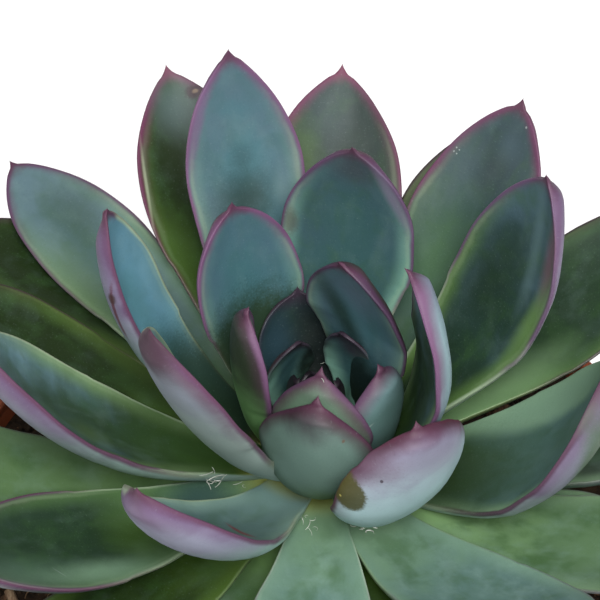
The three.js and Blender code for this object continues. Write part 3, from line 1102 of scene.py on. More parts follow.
        upper = [
            Leaf(
                307, 42, 26, 12, 96, 11, -20, 36, tint.TEAL, rear.PEARL, taper=0.64, crumple=0.35,
                margin=Margin(0.9, 0.6, 0.6, mauve=(0.05, 0.017, 0.03), crimson=0.5),
                marks=(
                    Mark(-8.8, 37.5, 4.2, 2.8, (0.09, 0.05, 0.08), 0.75, 0.4, 0.9, 0, True),
                    Mark(-11.0, 31.2, 2.4, 3.8, (0.05, 0.048, 0.01), 0.95, 0.4, 0.15, 10, True),
                    Mark(-12.2, 30.2, 0.16, 0.25, (0.36, 0.3, 0.08), 0.8, 0.3, 0.3, 0, True),
                    Mark(-6.4, 35.3, 0.22, 0.32, (0.03, 0.02, 0.03), 0.9, 0.4, 0.3, 0, True),
                ),
            ),
            Leaf(
                130, 42, 21, 56, 80, 1, -4, 15, tint.BAY, taper=0.72, margin=bold,
                # Painted shade over the lower half of the blade.
                marks=(Mark(1, 10, 14, 15, (0.014, 0.027, 0.008), 0.9, 0.3, 0.25),),
            ),
            Leaf(
                226, 60, 20, 46, 75, -6, -8, 38, tint.TEAL, rear.ASH, margin=folded,
                marks=(Mark(0.8, 58.5, 3.4, 4.2, (0.04, 0.018, 0.03), 0.85, 0.5, 0.6, 0, True),),
            ),
            Leaf(336, 51, 21, 41, 116, 33, 1, 13, tint.TEAL, rear.LAVENDER, margin=bold),
            Leaf(
                271, 31, 21, 28, 110, -14, -13, 28, tint.TEAL, taper=0.95,
                margin=Margin(mauve=(0.062, 0.02, 0.042)),
                marks=(Mark(4.8, 26.6, 0.22, 0.28, (0.1, 0.05, 0.03), 0.7, 0.5, 0.4, 0, True),),
            ),
            Leaf(
                25, 40, 21, 77, 108, 28, -6, 8, tint.BLUE, rear.MOSS, taper=0.9,
                margin=Margin(0.9, 0.5, 0.5, mauve=(0.06, 0.027, 0.06)),
                marks=(
                    # Painted highlight: a blue sheen.
                    Mark(-1, 33, 3.6, 4, (0.09, 0.12, 0.165), 0.5, 0.4, 0.9),
                    # Painted shadow along one side of the blade.
                    Mark(3.4, 26, 2.2, 8, (0.012, 0.026, 0.016), 0.75, 0.3, 0.8, -22),
                    # Painted shade: near-black near the root, deep in the hollow.
                    Mark(0, 6, 12, 13, (0.004, 0.008, 0.006), 0.9, 0.3, 0.4),
                ),
            ),
            Leaf(191, 34, 16, 61, 98, -5, 6, 44, tint.TEAL, rear.MOSS, taper=0.9, margin=bold),
            Leaf(
                316, 29, 18, 43, 102, 10, 3, 46, tint.TEAL, rear.TEAL, taper=1.0,
                marks=(Mark(-4.9, 21.8, 0.9, 0.16, (0.3, 0.36, 0.34), 0.5, 0.5, 0.5, 30, True),),
            ),
            Leaf(
                102, 22, 16, 51, 67, -1, -1, 40, tint.NIGHT, margin=hollow_shade_rim,
                marks=(
                    Mark(4.5, 13, 3.2, 5, (0.018, 0.042, 0.056), 0.8, 0.3, 0.9),
                    # Painted shade over one side of the blade.
                    Mark(-4, 11, 5, 8, (0.002, 0.004, 0.004), 0.8, 0.3, 0.8),
                ),
            ),
            Leaf(273, 30, 17, 40, 112, -17, -11, 14, tint.TEAL, rear.DIM, taper=1.0),
            Leaf(
                41, 22, 9, 61, 117, 14, 5, 20, tint.DEEP, margin=hollow_shade_rim,
                marks=(Mark(-1.6, 18.5, 2.4, 3, (0.05, 0.022, 0.045), 0.6, 0.4, 0.8),),
            ),
            Leaf(
                149, 21, 9, 66, 119, -20, -5, 26, tint.DEEP, margin=hollow_shade_rim,
                # Painted shade: a near-black streak deep in the hollow.
                marks=(Mark(-4.2, 13, 2, 9, (0.002, 0.004, 0.003), 0.9, 0.3, 0.5),),
            ),
        ]
        return lower + middle + upper

    def blank(self) -> Piece:
        """Models the tube that every leaf is shaped from: rings along +Z, an open root and a pointed tip.

        Returns:
            The blank, of radius 1 and height 1.
        """
        settings = {"vertices": self.around, "radius": 1, "depth": 1, "end_fill_type": "NOTHING"}
        blank = primitive("leaf_blank", "cylinder", location=(0, 0, 0.5), **settings)
        begin_edit(blank)
        pick(blank, "EDGE", lambda middle: 0.4 < middle.z < 0.6)
        bpy.ops.mesh.subdivide(number_cuts=self.rings - 1)
        pick(blank, "VERT", lambda spot: spot.z > 1 - 0.1 / self.rings)
        bpy.ops.mesh.merge(type="CENTER")
        pick(blank, "VERT", lambda spot: spot.z < 0.1 / self.rings)
        bpy.ops.mesh.edge_face_add()
        end_edit()
        return blank

    def outline(self, s: np.ndarray, taper: float) -> np.ndarray:
        """Half the blade's width along the leaf, as a share of the greatest.

        Args:
            s: Shares of the leaf's length.
            taper: How sharp its point is.

        Returns:
            The half widths, 0 from the tip on.
        """
        s = np.clip(s, 0, 1)
        opening = np.sin(np.pi / 2 * np.minimum(s / self.widest, 1)) ** 1.6
        low = self.base_width + (1 - self.base_width) * opening
        past = np.clip((s - self.widest) / (1 - self.widest), 0, 1)
        return np.where(s < self.widest, low, np.maximum(1 - past**2.1, 0) ** taper)

    def shape(self, piece: Piece, leaf: Leaf, seat_at: float, ring: float, seed: float) -> None:
        """Bends a copy of the blank into a leaf and stores where each point lies on the blade.

        Args:
            piece: The copy of the blank.
            leaf: The leaf.
            seat_at: The height of its root.
            ring: The root's distance from the stem's axis.
            seed: A number of its own, for its small irregularities.
        """
        mesh = piece.data
        flat = np.zeros(len(mesh.vertices) * 3)
        mesh.vertices.foreach_get("co", flat)
        x, y, z = flat.reshape(-1, 3).T
        start = -self.embed / leaf.length
        end = 1 + self.mucro * min(1, leaf.length / 30) / leaf.length
        s = start + (end - start) * (1 - (1 - z) ** self.crowding)
        within = np.clip(s, 0, 1)
        along, level = self._course(leaf, within)
        roll = np.radians(leaf.roll * np.minimum(within / self.full_roll_at, 1))[:, None]
        upright = np.cross(along, level)
        side = level * np.cos(roll) + upright * np.sin(roll)
        up = upright * np.cos(roll) - level * np.sin(roll)

        turn = np.arctan2(y, x)
        tip = z > 1 - 1e-6
        u = np.where(tip, 0.0, np.cos(turn))
        lift = np.where(tip, 0.0, np.sin(turn))
        half = self._half_width(leaf, s, (end - s) * leaf.length, seed)
        cupped = np.sin(np.pi / 2 * np.clip(within / self.full_cup_at, 0, 1))
        bend = np.radians(max(leaf.cup, self.least_cup)) * (self.root_cup + (1 - self.root_cup) * cupped)
        turned_up = math.radians(leaf.fold) * np.clip(within / self.full_fold_at, 0, 1) ** 2
        arc = self._turn(bend, turned_up, u)[:, None]
        steps = (np.arange(self.arc_steps)[:, None] + 0.5) / self.arc_steps
        path = self._turn(bend, turned_up, u * steps)
        inward = half * u * np.cos(path).mean(axis=0)
        upward = half * u * np.sin(path).mean(axis=0)
        outward = up * np.cos(arc) - side * np.sin(arc)
        depth = self._depth(leaf, within, half, u, lift)
        points = self._midrib(leaf, seat_at, ring, s, start, end)
        points += side * inward[:, None] + up * upward[:, None] - outward * depth[:, None]

        ripple = self._waves(seed + 7, s * 4.1 + np.sign(u) * 3.3) * self.ripple * np.abs(u) ** 3
        dent = self._waves(seed + 13, s * 2.9 + u * 1.1) * self.dent * (1 - np.abs(u) ** 2)
        pinch = np.sin(s * 47 + 2.0) + 0.7 * np.sin(s * 83 + 1.0)
        crumple = pinch * np.abs(u) ** 6 * np.clip((within - 0.72) / 0.12, 0, 1) * leaf.crumple
        wander = self._waves(seed + 23, s * 3.4 + np.sign(u) * 5.1) * self.wander * u * np.abs(u)
        fade = np.clip((1 - s) * leaf.length / 6, 0, 1) * np.clip(within / 0.15, 0, 1)
        points += outward * ((ripple + dent + crumple) * fade)[:, None]
        points += side * (wander * fade)[:, None]
        place(mesh, points)

        store(mesh, "along", within)
        store(mesh, "across", u)
        store(mesh, "under", np.clip(0.5 - lift * 4.0, 0, 1))
        store(mesh, "margin_mm", (1 - np.abs(u)) * half + np.abs(lift) * 0.2)
        store(mesh, "tip_mm", (end - s) * leaf.length)
        face = np.where(lift < 0, self.under_shift, 0.0)
        store(mesh, "blade_mm", np.stack([u * half, s * leaf.length, face], 1))

    def _half_width(self, leaf: Leaf, s: np.ndarray, from_end: np.ndarray, seed: float) -> np.ndarray:
        """Half the leaf's width, with the small point at its tip.

        Args:
            leaf: The leaf.
            s: Shares of its length.
            from_end: The distances to the end of the point.
            seed: A number of its own.

        Returns:
            The half widths.
        """
        needle = self.mucro_radius * np.clip(from_end / self.mucro, 0, 1.3) ** self.mucro_flare * (s > 0.5)
        stray = 1 + self._waves(seed, s * 2.3) * self.wobble
        blade = leaf.width / 2 * self.outline(s, leaf.taper) * stray
        return np.maximum((blade**1.6 + needle**1.6) ** (1 / 1.6), 0.02)

    def _depth(
        self, leaf: Leaf, within: np.ndarray, half: np.ndarray, u: np.ndarray, lift: np.ndarray
    ) -> np.ndarray:
        """How far below the leaf's flat upper face its points lie: fat in the middle, thin at the margins.

        Args:
            leaf: The leaf.
            within: Shares of its length.
            half: Half its width there.
            u: The place across it, from -1 to 1.
            lift: 1 on top, -1 underneath and 0 at the margins.

        Returns:
            The depths.
        """
        filled = np.clip(within / self.full_thickness_at, 0, 1)
        swell = (self.base_thickness + (1 - self.base_thickness) * filled) * (1 - self.thinning * within)
        full = self.thickness * leaf.width * swell * np.minimum(1, half / self.slim_below)
        thick = np.maximum(full, np.minimum(1.7 * half, 0.8))
        edge = np.minimum(self.edge, thick)
        roundness = np.sqrt(np.abs(lift))
        belly = edge / 2 * (1 + roundness) + (thick - edge) * (1 - np.abs(u) ** 2.4) ** 0.8
        return np.where(lift >= 0, edge / 2 * (1 - roundness), belly)

    @staticmethod
    def _course(leaf: Leaf, within: np.ndarray) -> tuple[np.ndarray, np.ndarray]:
        """The way that the leaf's midrib runs.

        Args:
            leaf: The leaf.
            within: Shares of its length.

        Returns:
            The directions along it, and the level ones across it.
        """
        pitch = np.radians(leaf.rise + (leaf.stand - leaf.rise) * within)
        heading = np.radians(leaf.points + leaf.sweep * within)
        along = np.stack([np.cos(pitch) * np.cos(heading), np.cos(pitch) * np.sin(heading), np.sin(pitch)], 1)
        return along, np.stack([-np.sin(heading), np.cos(heading), np.zeros(len(within))], 1)

    @staticmethod
    def _turn(bend: np.ndarray, turned_up: np.ndarray, u: np.ndarray) -> np.ndarray:
        """The angle that the blade has turned through at a place across it.

        Args:
            bend: Half the angle of its even bend.
            turned_up: The further angle at one margin, the anticlockwise one where it is positive.
            u: The place, from -1 to 1.

        Returns:
            The angle, in radians.
        """
        return bend * u + turned_up * np.clip((u * np.sign(turned_up) - 0.25) / 0.75, 0, 1) ** 1.5

    def _midrib(
        self, leaf: Leaf, seat_at: float, ring: float, s: np.ndarray, start: float, end: float
    ) -> np.ndarray:
        """Points on the leaf's midrib.

        Args:
            leaf: The leaf.
            seat_at: The height of its root.
            ring: The root's distance from the stem's axis.
            s: Shares of its length.
            start: The least share.
            end: The greatest share.

        Returns:
            A row of three millimetre values for each share.
        """
        steps = np.linspace(start, end, self.rib_steps + 1)
        along, _ = self._course(leaf, np.clip((steps[1:] + steps[:-1]) / 2, 0, 1))
        moves = along.T * (end - start) / self.rib_steps * leaf.length
        path = np.concatenate([np.zeros((3, 1)), np.cumsum(moves, axis=1)], axis=1)
        root = math.radians(leaf.points)
        seated = (self.stem_shift + ring * math.cos(root), ring * math.sin(root), self.rim_height + seat_at)
        rows = [np.interp(s, steps, row) - np.interp(0.0, steps, row) + at for row, at in zip(path, seated)]
        return np.stack(rows, 1)

    def ring(self, share: float) -> float:
        """The distance from the stem's axis to the roots of leaves at a share of the way up."""
        return self.outer_ring + (self.inner_ring - self.outer_ring) * share**self.ring_taper

    @staticmethod
    def _waves(seed: float, place_at: np.ndarray) -> np.ndarray:
        """Smooth irregular waves, made of three sines.

        Args:
            seed: What sets them apart from other waves.
            place_at: Where they are read.

        Returns:
            Values from -1 to 1.
        """
        return (
            np.sin(place_at * 2.1 + seed * 1.7)
            + 0.6 * np.sin(place_at * 4.7 + seed * 3.1)
            + 0.35 * np.sin(place_at * 9.3 + seed * 5.9)
        ) / 1.95

    def build(self) -> list[Piece]:
        """Makes the leaves and the bud, and dresses them.

        Returns:
            The leaves.
        """
        blank = self.blank()
        blades = []
        leaves = self.leaves()
        for rank, leaf in enumerate(leaves):
            name = f"leaf_{rank + 1:02d}"
            share = rank / (len(leaves) - 1)
            seat_at = self.lowest_seat + (self.highest_seat - self.lowest_seat) * share
            piece = copied(blank, f"{name}_blade")
            self.shape(piece, leaf, seat_at, self.ring(share), seed=rank + 1.0)
            smooth(piece)
            finish = LeafFinish(leaf.tint.value, leaf.rear.value, leaf.margin, 11.0 * (rank + 1), leaf.marks)
            seat(piece, self._slot(rank), finish.material(f"skin_of_{name}"), [name])
            blades.append(piece)
        self._bud(blank)
        bpy.data.objects.remove(blank)
        return blades

    def _slot(self, rank: int) -> str:
        """The record's slot for a leaf.

        Args:
            rank: The leaf's rank from the lowest, which is 0.

        Returns:
            The slot.
        """
        if rank < self.lower_count:
            return "leaf_outer"
        return "leaf_middle" if rank < self.lower_count + self.middle_count else "leaf_inner"

    def _bud(self, blank: Piece) -> None:
        """Makes the closed bud of small leaves, each inside the last.

        Args:
            blank: The tube that leaves are shaped from.
        """
        scales = []
        for i in range(self.bud_scales):
            young = 1 - 0.09 * i
            length, width = self.bud_length * young, self.bud_width * young
            scale = Leaf(205 + self.spiral_turn * i, length, width, 68 + 2 * i, 102, 0, 0, 45, Tint.NIGHT)
            piece = copied(blank, f"bud_scale_{i + 1}")
            self.shape(piece, scale, self.bud_seat + 0.2 * i, self.bud_ring * young, seed=50.0 + i)
            smooth(piece)
            scales.append(piece)
        bud = joined(scales, "bud")
        painted_shade = (0.012, 0.008, 0.012)
        deep = Margin(0.3, 0.3, 0.2, mauve=(0.02, 0.012, 0.02), pale=(0.02, 0.03, 0.02), tip=painted_shade)
        finish = LeafFinish(Tint.NIGHT.value, Rear.DARK.value, deep, 500.0)
        seat(bud, "bud", finish.material("skin_of_bud"), ["heart"])


# ------------------------------------------------------------------ pot


@dataclass
class Pot:
    """Thin-walled plastic pot with a stepped collar, a flat rim and drain holes. Lengths are millimetres."""

    rim_radius: float = 61.7
    height: float = 95.0
    base_radius: float = 44.0
    wall: float = 1.3
    floor: float = 1.6
    lip_width: float = 2.3
    lip_depth: float = 1.6
    collar_depth: float = 14.0
    collar_step: float = 0.9
    edge_round: float = 0.4
    holes: int = 6
    hole_radius: float = 4.0
    hole_ring: float = 27.0
    sides: int = 144

    def wall_radius(self, height: float) -> float:
        """The wall's outer radius below the collar, at a height."""
        spread = self.rim_radius - self.collar_step - self.base_radius
        return self.base_radius + spread * height / self.height

    def collar_radius(self, height: float) -> float:
        """The collar's outer radius."""
        return self.wall_radius(height) + self.collar_step

    def profile(self) -> list[tuple[float, float]]:
        """The rings that the pot is drawn up from.

        Returns:
            Radius and height of each, from the middle of the base up the outside and down the inside.
        """
        foot = self.height - self.collar_depth
        lip_inside = self.rim_radius - self.lip_width
        under_lip = self.height - 2 * self.lip_depth
        return [
            (2.0, 0.0),
            (self.base_radius - self.edge_round, 0.0),
            (self.wall_radius(self.edge_round), self.edge_round),
            (self.wall_radius(foot), foot),
            (self.collar_radius(foot), foot + self.collar_step),
            (self.rim_radius, self.height - self.edge_round),
            (self.rim_radius - self.edge_round, self.height),
            (lip_inside + self.edge_round, self.height),
            (lip_inside, self.height - self.edge_round),
            (lip_inside, self.height - self.lip_depth),
            (self.collar_radius(under_lip) - self.wall, under_lip),
            (self.collar_radius(foot) - self.wall, foot),
            (self.wall_radius(foot) - self.wall, foot - self.collar_step),
            (self.wall_radius(self.floor) - self.wall, self.floor),
            (2.0, self.floor),
        ]

    def build(self) -> None:
        """Makes the pot and dresses it."""
        pot = drawn_up("pot_shell", self.profile(), self.sides)
        drills = []
        for i in range(self.holes):
            angle = math.tau * i / self.holes
            spot = (self.hole_ring * math.cos(angle) * MM, self.hole_ring * math.sin(angle) * MM, 0)
            size = {"vertices": 32, "radius": self.hole_radius * MM, "depth": 4 * self.floor * MM}
            drills.append(primitive(f"drill_{i}", "cylinder", location=spot, **size))
        drill = joined(drills, "drill")
        apply_modifier(pot, "BOOLEAN", {"operation": "DIFFERENCE", "object": drill, "solver": "EXACT"})
        bpy.data.objects.remove(drill)
        soften = {"width": 0.22 * MM, "segments": 2, "limit_method": "ANGLE", "angle_limit": math.radians(24)}
        apply_modifier(pot, "BEVEL", soften)
        smooth(pot, 30)
        seat(pot, "pot", self.plastic(), ["pot"])

    def plastic(self) -> Material:
        """Orange-brown satin plastic with faint flow marks, dust and smears of peat by the rim.

        Returns:
            The material.
        """
        graph = Graph("orange_brown_plastic")
        place_at = graph.object_place()
        height = graph.height_mm(place_at)
        clouds = graph.noise(place_at, 45.0, 3.0, 0.55)
        flow = graph.noise(graph.stretched(place_at, (60.0, 60.0, 420.0)), 1.0, 3.0, 0.6)
        fine = graph.noise(place_at, 1900.0, 2.0)
        drips = graph.noise(graph.stretched(place_at, (330.0, 330.0, 40.0)), 1.0, 4.0, 0.65)
        colour = graph.mix(clouds.rises(0.3, 0.7), (0.235, 0.056, 0.022), (0.29, 0.072, 0.03))
        colour = graph.mix(flow.rises(0.35, 0.75) * 0.3, colour, (0.21, 0.048, 0.02))
        chalk = drips.rises(0.56, 0.72) * clouds.rises(0.42, 0.62) * 0.28
        colour = graph.mix(chalk, colour, (0.5, 0.36, 0.3))
        smear = (graph.noise(place_at, 260.0, 4.0, 0.7) + height.rises(60.0, 95.0) * 0.1).rises(0.66, 0.78)
        colour = graph.mix(smear * 0.55, colour, (0.045, 0.026, 0.016))
        roughness = 0.36 + 0.2 * clouds + 0.3 * chalk + 0.3 * smear
        return graph.finish(colour, roughness, 0.05 * flow + 0.02 * fine, 0.6, {"Specular IOR Level": 0.5})


# ------------------------------------------------------------------ soil


@dataclass
class Soil:
    """Peat with crumbs, chips and fibres on it. Lengths are millimetres.

    rest and fibre_rest are how high the middle of a loose bit lies, as a share of its size, and lean is its
    greatest tilt in radians.
    """

    pot: Pot
    top: float = 90.0
    gap: float = 0.3
    rings: int = 42
    sides: int = 140
    crumbs: int = 900
    chips: int = 60
    fibres: int = 320
    keep_clear: float = 9.5
    off_wall: float = 1.2
    rest: float = 0.25
    fibre_rest: float = 0.06
    lean: float = 0.6
    swell: float = 0.8
    lumpiness: float = 0.55
    deepest: float = -1.3
    highest: float = 1.4
    twig_place: tuple[float, float] = (-48.6, -23.5)
    twig_turn: float = 110.0
    twig_length: float = 15.0
    twig_radius: float = 1.1
    twig_bow: float = 1.2
    twig_dip: float = 0.12
    twig_rest: float = 2.0
    seed: int = 7

    def build(self) -> None:
        """Makes the body of peat and what lies on it, and dresses them."""
        ground = self._ground()
        seat(ground, "soil", self.peat(), ["soil"])
        draw = random.Random(self.seed)
        self._scatter(draw, "peat_crumbs", self._crumb(), self.crumbs, (0.35, 1.5), self.peat("peat_lumps"))
        self._scatter(draw, "bark_chips", self._chip(), self.chips, (0.9, 2.4), self.bark())
        fibre = rod("fibre", 5, 0.03, 1, -0.5, 5)
        self._scatter(draw, "peat_fibres", fibre, self.fibres, (1.5, 5.5), self.fibre_skin())
        self._twig()

    def surface(self, x: float, y: float) -> float:
        """How high the peat stands above its nominal top.

        Args:
            x: The place to the right of the pot's axis.
            y: The place behind it.

        Returns:
            The height, in millimetres.
        """
        spot = Vector((x, y, 0.0))
        broad = noise.noise(spot * 0.09) * self.swell
        lumps = noise.fractal(spot * 0.32, 0.8, 2.1, 4) * self.lumpiness
        return max(self.deepest, min(self.highest, broad + lumps))

    def _ground(self) -> Piece:
        """Draws up the body of peat and roughens its top.

        Returns:
            The piece.
        """
        pot = self.pot
        inset = pot.wall + self.gap
        bottom = pot.floor + self.gap
        foot = pot.height - pot.collar_depth
        edge = pot.collar_radius(self.top - 2) - inset
        profile = [
            (2.0, bottom),
            (pot.wall_radius(bottom) - inset - 1, bottom),
            (pot.wall_radius(bottom + 1) - inset, bottom + 1),
            (pot.wall_radius(foot) - inset - 0.1, foot - pot.collar_step - self.gap),
            (pot.collar_radius(foot) - inset, foot + self.gap),
            (edge, self.top - 2),
        ]
        profile += [(edge + (3.0 - edge) * i / self.rings, self.top) for i in range(self.rings + 1)]
        ground = drawn_up("peat", profile, self.sides)
        for vertex in ground.data.vertices:
            x, y, z = (value / MM for value in vertex.co)
            if z > self.top - 0.5:
                across = math.hypot(x, y)
                by_wall = max(0.0, min(1.0, (edge - across) / 3))
                vertex.co.z = (self.top + self.surface(x, y) * (0.35 + 0.65 * by_wall)) * MM
        smooth(ground)
        return ground

    @staticmethod
    def _crumb() -> Piece:
        """Models one lump of peat, of radius 1.

        Returns:
            The lump.
        """
        crumb = primitive("crumb", "ico_sphere", subdivisions=2, radius=1)
        begin_edit(crumb)
        bpy.ops.mesh.select_all(action="SELECT")
        bpy.ops.transform.vertex_random(offset=0.24, uniform=0.35, normal=0.6, seed=3)
        end_edit()
        return crumb

    @staticmethod
    def _chip() -> Piece:
        """Models one flat chip of bark, about 2 across.

        Returns:
            The chip.
        """
        chip = primitive("chip", "cube", size=1)
        begin_edit(chip)
        bpy.ops.mesh.select_all(action="SELECT")
        bpy.ops.transform.resize(value=(2.0, 1.1, 0.4), center_override=(0, 0, 0))
        bpy.ops.mesh.subdivide(number_cuts=1)
        bpy.ops.transform.vertex_random(offset=0.2, uniform=0.6, normal=0.2, seed=5)
        end_edit()
        return chip

    def _scatter(
        self,
        draw: random.Random,
        name: str,
        model: Piece,
        count: int,
        sizes: tuple[float, float],
        material: Material,
    ) -> None:
        """Strews copies of a model over the peat and joins them.

        Args:
            draw: The source of random numbers.
            name: The joined piece's name.
            model: What is copied.
            count: How many copies.
            sizes: The least and greatest size.
            material: The finish.
        """
        edge = self.pot.collar_radius(self.top) - self.pot.wall - self.off_wall
        copies = []
        for i in range(count):
            size = sizes[0] + (sizes[1] - sizes[0]) * draw.random() ** 2.2
            reach = math.sqrt(draw.uniform(self.keep_clear**2, (edge - size) ** 2))
            angle = draw.uniform(0, math.tau)
            x, y = reach * math.cos(angle), reach * math.sin(angle)
            piece = copied(model, f"{name}_{i}")
            turn = Matrix.Rotation(draw.uniform(0, math.tau), 4, "Z")
            lean = Matrix.Rotation(draw.uniform(-self.lean, self.lean), 4, "X")
            lift = self.rest
            if model.name == "fibre":
                self._bend(piece, draw.uniform(-2.2, 2.2), draw.uniform(-0.8, 0.8))
                lean = Matrix.Rotation(math.pi / 2 + draw.uniform(-0.3, 0.25), 4, "X")
                lift = self.fibre_rest
            level = self.top + self.surface(x, y) + size * lift
            spot = Matrix.Translation((x * MM, y * MM, level * MM))
            piece.data.transform(spot @ turn @ lean @ Matrix.Scale(size * MM, 4))
            copies.append(piece)
        bpy.data.objects.remove(model)
        whole = joined(copies, name)
        smooth(whole, 50)
        seat(whole, "soil", material)

    @staticmethod
    def _bend(fibre: Piece, curve: float, twist: float) -> None:
        """Bends a straight fibre.

        Args:
            fibre: The fibre, along Z.
            curve: How far it bends one way, in radians over its length.
            twist: How far it bends the other way.
        """
        for vertex in fibre.data.vertices:
            t = vertex.co.z
            vertex.co.x += curve * t * t * 0.5
            vertex.co.y += twist * t * t * t

    def _twig(self) -> None:
        """Makes the tan twig that lies on the peat at the front left."""
        half = self.twig_length / 2 * MM
        twig = rod("tan_twig", 12, self.twig_radius * MM, 2 * half, -half, 11)
        for vertex in twig.data.vertices:
            t = vertex.co.z / half
            knot = 1 + 0.25 * math.exp(-((t - 0.2) ** 2) / 0.02) - 0.3 * max(t, 0) + 0.08 * math.sin(9 * t)
            vertex.co.x = vertex.co.x * knot + self.twig_bow * MM * t * t
            vertex.co.y *= knot
        lying = Matrix.Rotation(math.pi / 2 - self.twig_dip, 4, "Y")
        turn = Matrix.Rotation(math.radians(self.twig_turn), 4, "Z") @ lying
        x, y = self.twig_place
        twig.data.transform(Matrix.Translation((x * MM, y * MM, (self.top + self.twig_rest) * MM)) @ turn)
        smooth(twig, 50)
        seat(twig, "soil", self.bark("tan_wood", (0.2, 0.12, 0.07), (0.42, 0.3, 0.19)))

    @staticmethod
    def peat(name: str = "dry_peat") -> Material:
        """Near-black crumbly peat with reddish bits.

        Args:
            name: The material's name.

        Returns:
            The material.
        """
        graph = Graph(name)
        place_at = graph.object_place()
        clods = graph.noise(place_at, 420.0, 5.0, 0.7)
        patches = graph.noise(place_at, 90.0, 3.0, 0.6)
        bits = graph.noise(graph.stretched(place_at, (1.0, 1.0, 1.0), (0.3, 0.1, 0.2)), 1500.0, 3.0, 0.6)
        colour = graph.mix(clods.rises(0.34, 0.66), (0.009, 0.006, 0.004), (0.05, 0.03, 0.018))
        colour = graph.mix(patches.rises(0.5, 0.7) * 0.45, colour, (0.075, 0.042, 0.024))
        colour = graph.mix(bits.rises(0.62, 0.7) * 0.7, colour, (0.17, 0.088, 0.045))
        relief = 0.5 * clods + 0.2 * bits
        return graph.finish(colour, 0.82 + 0.16 * clods, relief, 1.0, {"Specular IOR Level": 0.2})

    @staticmethod
    def bark(
        name: str = "bark", dark: Colour = (0.035, 0.018, 0.01), light: Colour = (0.16, 0.085, 0.045)
    ) -> Material:
        """Fibrous bark or wood.

        Args:
            name: The material's name.
            dark: The colour of its grooves.
            light: The colour of its ridges.

        Returns:
            The material.
        """
        graph = Graph(name)
        place_at = graph.object_place()
        patches = graph.noise(place_at, 160.0, 2.0)
        grain = graph.noise(graph.stretched(place_at, (1600.0, 420.0, 900.0)), 1.0, 4.0, 0.65)
        colour = graph.mix(grain.rises(0.35, 0.65), dark, light)
        colour = graph.mix(patches.rises(0.45, 0.65) * 0.4, colour, dark)
        return graph.finish(colour, 0.75 + 0.2 * grain, 0.3 * grain, 0.9, {"Specular IOR Level": 0.25})

    @staticmethod
    def fibre_skin() -> Material:
        """Tan to reddish plant fibre.

        Returns:
            The material.
        """
        graph = Graph("peat_fibre")
        place_at = graph.object_place()
        patches = graph.noise(place_at, 120.0, 2.0)
        fine = graph.noise(place_at, 900.0, 3.0)
        colour = graph.mix(patches.rises(0.42, 0.58), (0.07, 0.032, 0.016), (0.3, 0.17, 0.085))
        colour = graph.mix(fine.rises(0.5, 0.7) * 0.5, colour, (0.42, 0.3, 0.18))
        return graph.finish(colour, 0.7 + 0.2 * fine, 0.05 * fine, 0.6)


# ------------------------------------------------------------------ stem


